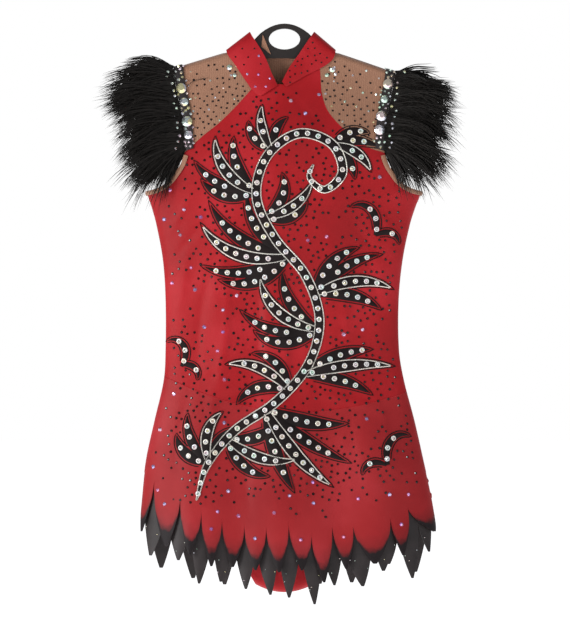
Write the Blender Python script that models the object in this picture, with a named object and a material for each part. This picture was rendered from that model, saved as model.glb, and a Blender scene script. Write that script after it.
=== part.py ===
"""A rhythmic gymnastics leotard hung on a plain moulded hanger.

Lengths are in millimetres until a mesh is made. X runs across the garment, Y from front to back, Z up.
The origin is the top of the hanger's grip hole, where the peg carries the whole part.
"""

import math
from collections import namedtuple

import bmesh
import bpy
from mathutils import Vector

MM = 0.001
FRONT = -1
BACK = 1
LEFT = -1
RIGHT = 1

# Cloth, seams, and what lies on the cloth
WALL = 1.2
SEAM_HALF_GAP = 0.25
LAYER_GAP = 0.6
LEVEL_WITHIN = 1.2

# How the shoulders hang over the hanger's arms
SHOULDER_PEAK_Z = -14.0
SHOULDER_SLOPE = 0.34
SHOULDER_TILT = 0.02
SHOULDER_NECK_ROUND = 30.0
SHOULDER_TOP_RADIUS = 7.0
SHOULDER_TO_CHEST = 110.0

# Sections of the body and skirt, from the front: the two outlines and half the depth
Section = namedtuple("Section", "z left right depth")
BODY_SECTIONS = (
    Section(30, -158, 158, 22),
    Section(-187, -158, 157, 26),
    Section(-203, -153, 151, 26),
    Section(-225, -147, 144, 25.5),
    Section(-266, -139.5, 135.5, 24.5),
    Section(-312, -136.5, 131, 23),
    Section(-370, -136.5, 131.5, 22.5),
    Section(-404, -138.5, 137, 24.5),
    Section(-450, -149, 149, 30),
    Section(-496, -159, 159.5, 36),
    Section(-542, -164, 169.5, 41),
    Section(-580, -167, 175, 44),
    Section(-660, -170, 179, 47),
)
BRIEF_SECTIONS = (
    Section(-380, -136, 134.5, 21),
    Section(-404, -136.2, 134.6, 21.5),
    Section(-470, -138, 138, 22),
    Section(-560, -138, 138, 18),
    Section(-600, -138, 138, 15),
    Section(-660, -138, 138, 13),
)
SQUARENESS = 2.4
YOKE_COLUMNS = 9
BACK_YOKE_COLUMNS = 15
UNDERARM_COLUMNS = 6
BRIEF_CLEARANCE = WALL + 1.2

# The free edge of each armhole, mirrored for the other side. A height left out lies on the shoulder line.
EdgePoint = namedtuple("EdgePoint", "x z")
SEAM_X = 114.5
SEAM_Z = -144.0
ARMHOLE_ABOVE_SEAM = (
    EdgePoint(128, None),
    EdgePoint(124, -70),
    EdgePoint(119, -94),
    EdgePoint(115.5, -120),
    EdgePoint(SEAM_X, SEAM_Z),
)
# Below the seam the edge runs to the side seam: the share of the way across, and the height
UnderarmPoint = namedtuple("UnderarmPoint", "share z")
ARMHOLE_BELOW_SEAM = (
    UnderarmPoint(0.0, SEAM_Z),
    UnderarmPoint(0.08, -155),
    UnderarmPoint(0.18, -162.5),
    UnderarmPoint(0.40, -175),
    UnderarmPoint(0.68, -183),
    UnderarmPoint(1.0, -187),
)
UNDERARM_Z = -187.0

# Seams between the mesh yokes and the front, from the armhole to the collar
YOKE_SEAM_LEFT = (
    EdgePoint(-SEAM_X, SEAM_Z),
    EdgePoint(-92, -124),
    EdgePoint(-74, -109.5),
    EdgePoint(-54.5, -90),
    EdgePoint(-35, -68),
)
YOKE_SEAM_RIGHT = (
    EdgePoint(SEAM_X, SEAM_Z),
    EdgePoint(96, -138),
    EdgePoint(71, -120),
    EdgePoint(50, -97),
    EdgePoint(42.5, -76),
    EdgePoint(41, -57),
    EdgePoint(40, -43),
)
YOKE_SEAM_RIGHT_POWER = 1.4
# Edges round the neck; the collar covers them
NECK_EDGE_LEFT = (EdgePoint(-65, None), EdgePoint(-47.5, -48.5), EdgePoint(-35, -68))
NECK_EDGE_RIGHT = (EdgePoint(57, None), EdgePoint(50, -36.5), EdgePoint(40, -43))
FRONT_NECKLINE = (
    EdgePoint(-35, -68),
    EdgePoint(-27, -73.5),
    EdgePoint(-8, -64.5),
    EdgePoint(0, -64.5),
    EdgePoint(24, -51),
    EdgePoint(40, -43),
)
BACK_NECKLINE = (
    EdgePoint(-65, None),
    EdgePoint(-48, -33),
    EdgePoint(-20, -31),
    EdgePoint(10, -31),
    EdgePoint(40, -34),
    EdgePoint(57, None),
)
BACK_YOKE_SEAM = (
    EdgePoint(-SEAM_X, SEAM_Z),
    EdgePoint(-70, -152),
    EdgePoint(0, -156),
    EdgePoint(70, -152),
    EdgePoint(SEAM_X, SEAM_Z),
)

# The seam that joins front, skirt and brief
SKIRT_SEAM_LEFT_Z = -400.0
SKIRT_SEAM_RIGHT_Z = -418.0
FRONT_SEAM_DROP = 30.0
BACK_SEAM_DROP = 8.0

# Soft creases: a trough or ridge that hangs down the cloth
Crease = namedtuple("Crease", "x lean width depth top bottom")
CREASES = {
    FRONT: (
        Crease(-104, -0.02, 12, -1.6, -230, -430),
        Crease(-78, 0.03, 11, 1.8, -240, -430),
        Crease(-42, 0.02, 13, -2.4, -230, -460),
        Crease(-14, 0.0, 12, 1.6, -250, -460),
        Crease(16, -0.02, 12, -1.8, -260, -460),
        Crease(52, 0.02, 13, 1.6, -220, -440),
        Crease(88, 0.05, 12, -2.0, -200, -420),
        Crease(-96, -0.10, 22, 4.0, -420, -760),
        Crease(-48, -0.05, 20, -4.0, -420, -760),
        Crease(0, 0.0, 24, 4.0, -420, -760),
        Crease(52, 0.05, 20, -4.0, -420, -760),
        Crease(100, 0.10, 22, 4.0, -420, -760),
    ),
    BACK: (
        Crease(-80, 0.02, 16, -2.0, -200, -430),
        Crease(-20, 0.0, 18, 1.8, -180, -440),
        Crease(48, -0.02, 16, -2.0, -200, -430),
        Crease(-74, -0.08, 24, 4.0, -420, -760),
        Crease(-18, 0.0, 22, -4.0, -420, -760),
        Crease(40, 0.05, 24, 4.0, -420, -760),
        Crease(92, 0.08, 20, -3.0, -420, -760),
    ),
}

# Skirt petals, from the left: the slit on the right of each, and its tip. Across runs from -1 to 1.
Petal = namedtuple("Petal", "slit_across slit_z tip_across tip_z")
SIDE_SLIT_Z = -512.0
FRONT_TOP_PETALS = (
    Petal(-0.92, -518, -0.985, -577),
    Petal(-0.73, -531, -0.81, -592),
    Petal(-0.58, -550, -0.65, -601),
    Petal(-0.44, -558, -0.505, -614),
    Petal(-0.29, -567, -0.365, -615),
    Petal(-0.145, -568, -0.215, -618),
    Petal(0.005, -563, -0.06, -620),
    Petal(0.155, -576, 0.09, -618),
    Petal(0.295, -566, 0.235, -632),
    Petal(0.435, -566, 0.38, -617),
    Petal(0.69, -557, 0.57, -611),
    Petal(0.82, -549, 0.76, -602),
    Petal(1.0, SIDE_SLIT_Z, 0.985, -577),
)
FRONT_UNDER_PETALS = (
    Petal(-0.83, -540, -0.94, -604),
    Petal(-0.66, -556, -0.745, -608),
    Petal(-0.51, -570, -0.60, -634),
    Petal(-0.365, -578, -0.455, -632),
    Petal(-0.22, -582, -0.285, -640),
    Petal(-0.07, -582, -0.12, -646),
    Petal(0.08, -582, 0.005, -649),
    Petal(0.225, -584, 0.175, -657),
    Petal(0.365, -582, 0.31, -636),
    Petal(0.56, -578, 0.50, -637),
    Petal(0.745, -568, 0.68, -612),
    Petal(0.89, -560, 0.84, -629),
    Petal(1.0, SIDE_SLIT_Z, 0.965, -600),
)
BACK_PETALS = 9
BACK_SLIT_Z = -556.0
BACK_SLIT_SWAY = 9.0
BACK_TOP_TIP_Z = -604.0
BACK_UNDER_TIP_Z = -628.0
BACK_TIP_SWAY = 8.0
TOP_LAYER_COLUMNS = 3
UNDER_LAYER_COLUMNS = 2
PETAL_ROWS = 3
SKIRT_ROWS = 4
PETAL_TIP_SHARE = 0.1
PETAL_CONVEXITY = 1.6
PETAL_FLARE = 5.0
PETAL_CURL = 2.0
UNDER_LAYER_RISE = 20.0
UNDER_LAYER_TOP_STEP = WALL + 1.9
UNDER_LAYER_TIP_STEP = WALL + 3.4

# The brief: leg curve from the side seam to the gusset, mirrored for the other leg
LEG_CURVE = (
    EdgePoint(138, -466),
    EdgePoint(121, -494),
    EdgePoint(92, -538),
    EdgePoint(62, -588),
    EdgePoint(41, -624),
    EdgePoint(33, -639),
)
GUSSET_LOW_Z = -648.0
GUSSET_RISE = 9.0
GUSSET_HALF = 33.0
GUSSET_RADIUS = 9.0

# Collar: ribs from the neck seam to the free edge. Turn is -1 in front, 0 on the shoulder line, 1 behind.
Rib = namedtuple("Rib", "seam_x seam_z edge_x edge_z turn")
COLLAR_LEFT = (
    Rib(-27, -78.5, -8, -66, -1),
    Rib(-35, -74, -15, -51, -1),
    Rib(-43, -63, -20, -38, -1),
    Rib(-51, -51, -25, -28, -1),
    Rib(-59, -39, -31.5, -17.5, -1),
    Rib(-65, -31.5, -37, -9, -0.85),
    Rib(-67, None, -40, -3.5, 0),
    Rib(-64, -31.5, -39.5, -8, 0.85),
    Rib(-56, -34.5, -38, -16, 1),
    Rib(-46, -37, -35, -24, 1),
)
COLLAR_RIGHT = (
    Rib(2, -68, -3, -62, -1),
    Rib(13, -61.5, 4.5, -47, -1),
    Rib(26, -54, 10.5, -38, -1),
    Rib(38, -48, 17.5, -28.5, -1),
    Rib(48.5, -42, 25, -17, -1),
    Rib(56, -35, 31, -8.5, -0.85),
    Rib(59, None, 34.5, -3.5, 0),
    Rib(56, -33.5, 34.5, -8.5, 0.85),
    Rib(50, -36, 33, -17, 1),
    Rib(41, -38, 31, -25, 1),
)
COLLAR_NEAREST = 6.2
COLLAR_BULGE = 1.5
COLLAR_RIDGE_LIFT = 1.3
COLLAR_STEPS_ALONG = 18
COLLAR_STEPS_ACROSS = 3

# The mesh end of the back collar, which lies in front of the grip
COLLAR_END_OUTLINE = (EdgePoint(-26.5, -21), EdgePoint(-15.5, -30), EdgePoint(-25, -7))
COLLAR_END_WALL = 1.0
COLLAR_END_GAP = 0.4

# Hanger
HANGER_THICKNESS = 4.6
HANGER_ARM_HALF = 112.0
HANGER_ARM_HEIGHT = 13.0
HANGER_NECK_DROP = WALL + 3.6
HANGER_SEAT_DROP = WALL + 1.55
HANGER_SEAT_STARTS = 70.0
HANGER_SEAT_RISE = 16.0
GRIP_TOP_Z = 5.75
GRIP_DOME = 0.0145
GRIP_SHOULDER = 27.0
GRIP_SHOULDER_DROP = 0.02
GRIP_BOTTOM_Z = -34.0
GRIP_HOLE_HALF_WIDTH = 18.0
GRIP_HOLE_HALF_HEIGHT = 12.0
HANGER_COLUMNS = 40
HOLE_STEPS = 28

# Armhole trim: a black band with large crystals raised on it, and a nude binding under the arm
BAND_WIDTH = 10.5
BAND_COLUMNS = 4
BAND_HALF_ROWS = 16
BAND_END = 2.0
BINDING_WIDTH = 5.0
BINDING_START = 0.03
BINDING_GAP = 0.8
Stone = namedtuple("Stone", "z radius")
LARGE_STONES = {
    LEFT: (Stone(-70, 6.0), Stone(-87, 5.0), Stone(-111, 6.2), Stone(-127, 5.0)),
    RIGHT: (Stone(-65, 6.0), Stone(-84, 4.6), Stone(-105, 6.2), Stone(-122, 6.0)),
}
STONE_HEIGHT = 3.4

# Feather fringe, from the shoulder line (0) to each end of its strip (1)
FEATHER_HALF_ROWS = 12
FEATHER_COLUMNS = 3
FEATHER_SEGMENTS = 2
STRIP_GAP = 0.6
STRIP_WALL = 1.6
STRIP_OUT = 2.4
STRIP_IN = 3.6
STRIP_END = 3.0
Lock = namedtuple("Lock", "share length down spread")
FEATHER_LOCKS = {
    LEFT: (
        Lock(0.0, 62, -0.08, 0.0),
        Lock(0.15, 86, -0.06, 0.06),
        Lock(0.35, 94, 0.0, 0.1),
        Lock(0.7, 90, 0.16, 0.1),
        Lock(1.0, 84, 0.44, 0.1),
    ),
    RIGHT: (
        Lock(0.0, 50, -0.05, 0.0),
        Lock(0.15, 72, -0.02, 0.06),
        Lock(0.35, 84, 0.03, 0.1),
        Lock(0.7, 86, 0.18, 0.1),
        Lock(1.0, 78, 0.46, 0.1),
    ),
}
LOCK_FAN = 0.16
LOCK_DROOP = 0.13
LOCK_RAGGED = 0.09
# How wide and how thick a lock is along its length, against its root
LockShape = namedtuple("LockShape", "share width thickness")
LOCK_SHAPE = (LockShape(0.0, 1.0, 1.0), LockShape(0.5, 0.9, 1.7), LockShape(1.0, 0.2, 0.5))

RED = (0.62, 0.03, 0.04, 1.0)
NUDE = (0.42, 0.22, 0.14, 1.0)
BLACK = (0.012, 0.011, 0.011, 1.0)
CHARCOAL = (0.03, 0.028, 0.03, 1.0)


def ease(share):
    """A smooth step from 0 to 1."""
    share = min(max(share, 0.0), 1.0)
    return share * share * (3 - 2 * share)


def mix(a, b, share):
    """The value a share of the way from a to b."""
    return a + (b - a) * share


def between(rows, place, key, value):
    """A smooth curve through two named columns of a table, read at one place."""
    ordered = sorted(rows, key=lambda row: getattr(row, key))
    places = [getattr(row, key) for row in ordered]
    values = [getattr(row, value) for row in ordered]
    last = len(places) - 1
    place = min(max(place, places[0]), places[last])
    i = next((n for n in range(last) if place <= places[n + 1]), last - 1)

    def slope(n):
        low, high = max(n - 1, 0), min(n + 1, last)
        return (values[high] - values[low]) / (places[high] - places[low])

    width = places[i + 1] - places[i]
    t = (place - places[i]) / width
    bend = slope(i) * width * (t - 2 * t**2 + t**3) + slope(i + 1) * width * (t**3 - t**2)
    return mix(values[i], values[i + 1], 3 * t**2 - 2 * t**3) + bend


def sweep(start, end, share):
    """A share of the width between two others, closer together towards the sides of the body."""
    return math.sin(mix(math.asin(start), math.asin(end), share))


def even(steps):
    """Shares from 0 to 1 in equal steps."""
    return [n / steps for n in range(steps + 1)]


def close_at_start(steps, power=1.7):
    """Shares from 0 to 1 that lie closer together at the start."""
    return [share**power for share in even(steps)]


def close_at_end(steps, power=1.6):
    """Shares from 0 to 1 that lie closer together at the end."""
    return [1 - (1 - share) ** power for share in even(steps)]


def shoulder_z(x):
    """The height of the top of the shoulder above x."""
    run = math.hypot(x, SHOULDER_NECK_ROUND) - SHOULDER_NECK_ROUND
    return SHOULDER_PEAK_Z - SHOULDER_SLOPE * run - SHOULDER_TILT * x


def drop_to(x, z):
    """How far down the cloth a point lies, measured over the round top of the shoulder."""
    fall = shoulder_z(x) - z
    radius = SHOULDER_TOP_RADIUS
    if fall < radius:
        return radius * math.acos(min(1 - max(fall, 0) / radius, 1))
    return fall + radius * (math.pi / 2 - 1)


def height_at(x, drop):
    """The height of the cloth that far down from the top of the shoulder."""
    radius = SHOULDER_TOP_RADIUS
    if drop < radius * math.pi / 2:
        return shoulder_z(x) - radius * (1 - math.cos(drop / radius))
    return shoulder_z(x) - drop + radius * (math.pi / 2 - 1)


def crease_depth(creases, x, z):
    """What the soft creases add to the depth at a point."""
    total = 0.0
    for crease in creases:
        centre = crease.x + crease.lean * (crease.top - z)
        fade = ease((crease.top - z) / 70) * ease((z - crease.bottom) / 40)
        total += crease.depth * fade * math.exp(-(((x - centre) / crease.width) ** 2))
    return total


def half_depth(x, z, sections, creases=()):
    """How far the cloth stands from the middle plane."""
    left = between(sections, z, "z", "left")
    right = between(sections, z, "z", "right")
    across = min(abs(2 * x - left - right) / (right - left), 1.0)
    full = between(sections, z, "z", "depth") * math.sqrt(1 - across**SQUARENESS)
    full += crease_depth(creases, x, z) * (1 - across**4)
    fall = shoulder_z(x) - z
    radius = SHOULDER_TOP_RADIUS
    if fall < radius:
        return math.sqrt(max(radius**2 - (radius - fall) ** 2, 0.0)) if fall > 0 else 0.0
    return mix(radius, full, ease((fall - radius) / SHOULDER_TO_CHEST))


def on_body(x, z, side):
    """A point of the body's outer surface."""
    return Vector((x, side * half_depth(x, z, BODY_SECTIONS, CREASES[side]), z))


def side_x(hand, z):
    """Where the side seam lies at a height."""
    return between(BODY_SECTIONS, z, "z", "left" if hand == LEFT else "right")


def at_across(across, z):
    """The x that lies at a share of the width, from -1 to 1."""
    return mix(side_x(LEFT, z), side_x(RIGHT, z), (across + 1) / 2)


def gusset_z(x):
    """The lowest line of the brief."""
    return GUSSET_LOW_Z + GUSSET_RISE * (x / GUSSET_HALF) ** 2


def on_brief(x, z, side):
    """A point of the brief's outer surface, which stays inside the skirt and folds under at the gusset."""
    inside_skirt = half_depth(x, z, BODY_SECTIONS, CREASES[side]) - BRIEF_CLEARANCE
    depth = min(half_depth(x, z, BRIEF_SECTIONS), max(inside_skirt, 0.0))
    rise = max(z - gusset_z(x), 0.0)
    if rise < GUSSET_RADIUS:
        depth *= math.sqrt(max(1 - (1 - rise / GUSSET_RADIUS) ** 2, 0.0))
    return Vector((x, side * depth, z))


def seam_z(across, side):
    """The height of the skirt seam at a share of the width."""
    share = (across + 1) / 2
    dip = FRONT_SEAM_DROP if side == FRONT else BACK_SEAM_DROP
    return mix(SKIRT_SEAM_LEFT_Z, SKIRT_SEAM_RIGHT_Z, share) - dip * math.sin(math.pi * share)


def sampled(points, places):
    """Points at the given shares of the length of a smooth line through a few edge points."""
    Knot = namedtuple("Knot", "run x z")
    points = [EdgePoint(p.x, shoulder_z(p.x) if p.z is None else p.z) for p in points]
    knots = [Knot(0.0, points[0].x, points[0].z)]
    for before, after in zip(points, points[1:]):
        step = math.hypot(after.x - before.x, after.z - before.z)
        knots.append(Knot(knots[-1].run + step, after.x, after.z))
    runs = [knots[-1].run * place for place in places]
    return [EdgePoint(between(knots, r, "run", "x"), between(knots, r, "run", "z")) for r in runs]


def shoulder_line(start, end, places):
    """Points on top of the shoulder between two x."""
    xs = [mix(start, end, place) for place in places]
    return [EdgePoint(x, shoulder_z(x)) for x in xs]


def handed(points, hand):
    """An edge given for the right side, on the side wanted."""
    return [EdgePoint(hand * p.x, p.z) for p in points]


def underarm_edge(hand, places):
    """The armhole's edge from the yoke seam down to the side seam."""
    reach = abs(side_x(hand, UNDERARM_Z)) - SEAM_X
    points = [EdgePoint(SEAM_X + reach * p.share, p.z) for p in ARMHOLE_BELOW_SEAM]
    return sampled(handed(points, hand), places)


def heights(top, bottom, steps):
    """Even heights from top to bottom."""
    return [mix(top, bottom, place) for place in even(steps)]


def skirt_seam(petals, side):
    """The skirt seam from left to right, with the same points as the skirt's top edge."""
    start, places = -1.0, [-1.0]
    for petal in petals:
        places += [sweep(start, petal.slit_across, share) for share in even(TOP_LAYER_COLUMNS)[1:]]
        start = petal.slit_across
    return [EdgePoint(at_across(a, seam_z(a, side)), seam_z(a, side)) for a in places]


def coons(top, bottom, left, right):
    """A net of (x, z) points between four edges that meet at their ends; top and bottom run left to right.

    The net is spaced along the cloth, so that it stays even over the round of the shoulder.
    """
    edges = [[Vector((p.x, drop_to(p.x, p.z))) for p in edge] for edge in (top, bottom, left, right)]
    top, bottom, left, right = edges
    net = []
    falls = [a.y + b.y for a, b in zip(left, right)]
    for j, fall in enumerate(falls):
        v = (fall - falls[0]) / (falls[-1] - falls[0])
        line = []
        for i, u in enumerate(even(len(top) - 1)):
            ruled = top[i].lerp(bottom[i], v) + left[j].lerp(right[j], u)
            p = ruled - top[0].lerp(top[-1], u).lerp(bottom[0].lerp(bottom[-1], u), v)
            line.append(EdgePoint(p.x, height_at(p.x, p.y)))
        net.append(line)
    return net


def draw_in(grid):
    """Moves the rim of a grid of points inwards, so that neighbouring panels stay apart at their seam."""
    rows, columns = len(grid), len(grid[0])
    moved = [[p.copy() for p in line] for line in grid]
    for j in range(rows):
        for i in range(columns):
            inner_i = min(max(i, 1), columns - 2)
            inner_j = min(max(j, 1), rows - 2)
            moved[j][i] += (grid[j][inner_i] - grid[j][i]).normalized() * SEAM_HALF_GAP
            moved[j][i] += (grid[inner_j][i] - grid[j][i]).normalized() * SEAM_HALF_GAP
    return moved


def lay_grid(bm, grid):
    """Adds a grid whose corners are the given rows of points; gives back each corner's place in it."""
    rows, columns = len(grid) - 1, len(grid[0]) - 1
    cells = {}
    for vert in bmesh.ops.create_grid(bm, x_segments=columns, y_segments=rows, size=1.0)["verts"]:
        j, i = round((vert.co.y + 1) / 2 * rows), round((vert.co.x + 1) / 2 * columns)
        vert.co = grid[j][i]
        cells[vert] = (j, i)
    return cells


def grow(bm, place_inside):
    """Copies a sheet's faces and moves the copy to where place_inside puts each of its corners."""
    extruded = bmesh.ops.extrude_face_region(bm, geom=bm.faces[:])
    for vert in (item for item in extruded["geom"] if isinstance(item, bmesh.types.BMVert)):
        vert.co = place_inside(vert)


def thicken(bm, turned_in, level_within=LEVEL_WITHIN, wall=WALL):
    """Turns an open sheet into a closed wall that grows towards the inside of the garment.

    turned_in says whether the faces, once alike, look inwards. Points on the middle plane, where front
    and back meet, are moved level, so that neither crosses it.
    """
    outward = bm.verts.layers.float_vector.new("outward")
    bmesh.ops.recalc_face_normals(bm, faces=bm.faces)
    if turned_in(bm.faces):
        bmesh.ops.reverse_faces(bm, faces=bm.faces)
    bm.normal_update()
    for vert in bm.verts:
        level = abs(vert.co.y) < level_within
        vert[outward] = Vector((vert.normal.x, 0 if level else vert.normal.y, vert.normal.z)).normalized()
    grow(bm, lambda vert: vert.co - vert[outward] * wall)


def facing(side):
    """A test of whether faces look away from the front or back they belong to."""
    return lambda faces: sum(face.normal.y * face.calc_area() for face in faces) * side < 0


def close_between(outer, inner):
    """A closed wall between two grids of points."""
    bm = bmesh.new()
    inside = bm.verts.layers.float_vector.new("inside")
    for vert, (j, i) in lay_grid(bm, outer).items():
        vert[inside] = inner[j][i]
    grow(bm, lambda vert: vert[inside])
    return bm


def finish(bm, name, colour, roughness=0.6):
    """Makes the named object from a mesh in millimetres."""
    bmesh.ops.recalc_face_normals(bm, faces=bm.faces)
    if bm.calc_volume(signed=True) < 0:
        bmesh.ops.reverse_faces(bm, faces=bm.faces)
    bmesh.ops.scale(bm, vec=(MM, MM, MM), verts=bm.verts)
    mesh = bpy.data.meshes.new(name)
    bm.to_mesh(mesh)
    bm.free()
    mesh.shade_smooth()
    mesh.set_sharp_from_angle(angle=math.radians(50))
    material = bpy.data.materials.new(name + "_finish")
    material.use_nodes = True
    shader = material.node_tree.nodes["Principled BSDF"]
    shader.inputs["Base Color"].default_value = colour
    shader.inputs["Roughness"].default_value = roughness
    mesh.materials.append(material)
    obj = bpy.data.objects.new(name, mesh)
    bpy.context.scene.collection.objects.link(obj)
    return obj


def panel(name, net, place, side, colour):
    """A cut piece of cloth: a net of (x, z) points laid on a surface and given its thickness."""
    bm = bmesh.new()
    lay_grid(bm, draw_in([[place(p.x, p.z, side) for p in line] for line in net]))
    thicken(bm, facing(side))
    return finish(bm, name, colour)


def bodice_net(side, top, petals, rows):
    """The net of the front or back, from underarm over the yoke seam to underarm, down to the skirt."""
    left_arm, right_arm = (underarm_edge(hand, close_at_end(UNDERARM_COLUMNS)) for hand in (LEFT, RIGHT))
    top = left_arm[:0:-1] + top + right_arm[1:]
    left, right = (
        [EdgePoint(side_x(hand, z), z) for z in heights(UNDERARM_Z, seam_z(hand, side), rows)]
        for hand in (LEFT, RIGHT)
    )
    return coons(top, skirt_seam(petals, side), left, right)


def make_bodice_front():
    left_seam = sampled(YOKE_SEAM_LEFT, even(YOKE_COLUMNS))
    right_seam = sampled(YOKE_SEAM_RIGHT, close_at_start(YOKE_COLUMNS, YOKE_SEAM_RIGHT_POWER))[::-1]
    top = left_seam + sampled(FRONT_NECKLINE, even(9))[1:] + right_seam[1:]
    net = bodice_net(FRONT, top, FRONT_TOP_PETALS, 9)
    return panel("bodice_front", net, on_body, FRONT, RED)


def make_bodice_back():
    top = sampled(BACK_YOKE_SEAM, even(BACK_YOKE_COLUMNS))
    net = bodice_net(BACK, top, back_petals(BACK_TOP_TIP_Z), 8)
    return panel("bodice_back", net, on_body, BACK, RED)


def armhole_edge(hand, places):
    """The armhole's edge from the shoulder line down to the yoke seam."""
    return sampled(handed(ARMHOLE_ABOVE_SEAM, hand), places)


def make_yoke_front(hand, name, seam, neck_edge, seam_power=1.0):
    rows = close_at_start(12)
    tip, neck = hand * ARMHOLE_ABOVE_SEAM[0].x, neck_edge[0].x
    edges = {hand: armhole_edge(hand, rows), -hand: sampled(neck_edge, rows)}
    top = shoulder_line(tip, neck, even(YOKE_COLUMNS))
    bottom = sampled(seam, close_at_start(YOKE_COLUMNS, seam_power))
    if hand == RIGHT:
        top, bottom = top[::-1], bottom[::-1]
    net = coons(top, bottom, edges[LEFT], edges[RIGHT])
    return panel(name, net, on_body, FRONT, NUDE)


def make_yoke_back():
    rows = close_at_start(10)
    neck = [(1 - math.cos(math.pi * place)) / 2 for place in even(BACK_YOKE_COLUMNS - 6)]
    tip = ARMHOLE_ABOVE_SEAM[0].x
    left_neck, right_neck = BACK_NECKLINE[0].x, BACK_NECKLINE[-1].x
    top = shoulder_line(-tip, left_neck, even(3))
    top += sampled(BACK_NECKLINE, neck)[1:]
    top += shoulder_line(right_neck, tip, even(3))[1:]
    bottom = sampled(BACK_YOKE_SEAM, even(BACK_YOKE_COLUMNS))
    net = coons(top, bottom, armhole_edge(LEFT, rows), armhole_edge(RIGHT, rows))
    return panel("yoke_back", net, on_body, BACK, NUDE)


def back_petals(tip_z):
    """Even petals for the back of the skirt, a little uneven in length."""
    rows = []
    for n in range(1, BACK_PETALS + 1):
        across = -1 + 2 * n / BACK_PETALS
        middle = across - 1 / BACK_PETALS
        hem = 1 - abs(across) ** 2
        slit = BACK_SLIT_Z + BACK_SLIT_SWAY * math.sin(2.3 * n) + 20 * (1 - hem)
        tip = tip_z - 10 * (1 - middle**2) + BACK_TIP_SWAY * math.sin(1.7 * n)
        rows.append(Petal(across, slit if n < BACK_PETALS else SIDE_SLIT_Z, middle * 0.985, tip))
    return tuple(rows)


def skirt_point(across, z, side, step):
    """A point of the skirt at a share of its width, a step inside the body's surface."""
    across = min(max(across, -1.0), 1.0)
    left, right = side_x(LEFT, z) + step, side_x(RIGHT, z) - step
    x = mix(left, right, (across + 1) / 2)
    depth = (between(BODY_SECTIONS, z, "z", "depth") - step) * math.sqrt(1 - abs(across) ** SQUARENESS)
    depth += crease_depth(CREASES[side], x, z) * (1 - across**4)
    return Vector((x, side * max(depth, SEAM_HALF_GAP), z))


def petal_point(petal, start, slit_start, c, s, side, steps):
    """A point of a petal: c runs from 0 to 1 across it, s from 0 at the slits to 1 at the tip."""
    across, slit = sweep(start, petal.slit_across, c), mix(slit_start, petal.slit_z, c)
    middle = (start + petal.slit_across) / 2
    width = 1 - s**PETAL_CONVEXITY * (1 - PETAL_TIP_SHARE)
    here = mix(middle, petal.tip_across, s**1.2) + (across - middle) * width
    point = skirt_point(here, mix(slit, petal.tip_z, s), side, mix(*steps, s))
    point.y += side * (PETAL_FLARE * s**2 + PETAL_CURL * s * width * (1 - (2 * c - 1) ** 2))
    return point


def make_skirt(name, petals, side, colour, top_z, cells, steps):
    """A layer of the skirt: one sheet down to the slits, and petals below them.

    Cells are the columns in each petal and the rows above the slits.
    """
    columns, rows_above = cells
    bm = bmesh.new()
    start, slit_start = -1.0, SIDE_SLIT_Z
    for petal in petals:
        grid = []
        for v in even(rows_above)[:-1]:
            line = []
            for c in even(columns):
                across, slit = sweep(start, petal.slit_across, c), mix(slit_start, petal.slit_z, c)
                line.append(skirt_point(across, mix(top_z(across, slit), slit, v), side, steps[0]))
            grid.append(line)
        for s in even(PETAL_ROWS):
            grid.append([petal_point(petal, start, slit_start, c, s, side, steps) for c in even(columns)])
        lay_grid(bm, grid)
        start, slit_start = petal.slit_across, petal.slit_z
    bmesh.ops.remove_doubles(bm, verts=bm.verts, dist=0.01)
    thicken(bm, facing(side))
    return finish(bm, name, colour)


def make_skirt_layers():
    for side, word, top_petals, under_petals in (
        (FRONT, "front", FRONT_TOP_PETALS, FRONT_UNDER_PETALS),
        (BACK, "back", back_petals(BACK_TOP_TIP_Z), back_petals(BACK_UNDER_TIP_Z)),
    ):
        make_skirt(
            "skirt_" + word,
            top_petals,
            side,
            RED,
            lambda across, slit, side=side: seam_z(across, side) - SEAM_HALF_GAP,
            (TOP_LAYER_COLUMNS, SKIRT_ROWS),
            (0.0, 0.0),
        )
        make_skirt(
            "skirt_points_" + word,
            under_petals,
            side,
            BLACK,
            lambda across, slit: slit + UNDER_LAYER_RISE,
            (UNDER_LAYER_COLUMNS, 1),
            (UNDER_LAYER_TOP_STEP, UNDER_LAYER_TIP_STEP),
        )


def brief_side(hand, side):
    """The brief's edge: down the side seam, then round the leg."""
    column = "left" if hand == LEFT else "right"
    hips = heights(seam_z(hand, side) - 1.0, LEG_CURVE[0].z, 3)
    seam = [EdgePoint(between(BRIEF_SECTIONS, z, "z", column), z) for z in hips]
    leg = sampled(handed(LEG_CURVE, hand), close_at_end(9, 1.5))
    return seam[:-1] + leg


def make_brief(name, side):
    top = []
    for across in (-math.cos(math.pi * place) for place in even(12)):
        z = seam_z(across, side) - 1.0
        left, right = (between(BRIEF_SECTIONS, z, "z", column) for column in ("left", "right"))
        top.append(EdgePoint(mix(left, right, (across + 1) / 2), z))
    left, right = brief_side(LEFT, side), brief_side(RIGHT, side)
    top[0], top[-1] = left[0], right[0]
    xs = [mix(-GUSSET_HALF, GUSSET_HALF, place) for place in even(12)]
    bottom = [EdgePoint(x, gusset_z(x)) for x in xs]
    net = coons(top, bottom, left, right)
    return panel(name, net, on_brief, side, RED)


def outward_at(x, z, turn):
    """The outward direction on the shoulder or chest, without its small slope across."""
    fall = shoulder_z(x) - z
    angle = math.acos(min(max(1 - fall / SHOULDER_TOP_RADIUS, 0.0), 1.0))
    return Vector((0, math.copysign(math.sin(angle), turn), math.cos(angle)))


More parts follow.
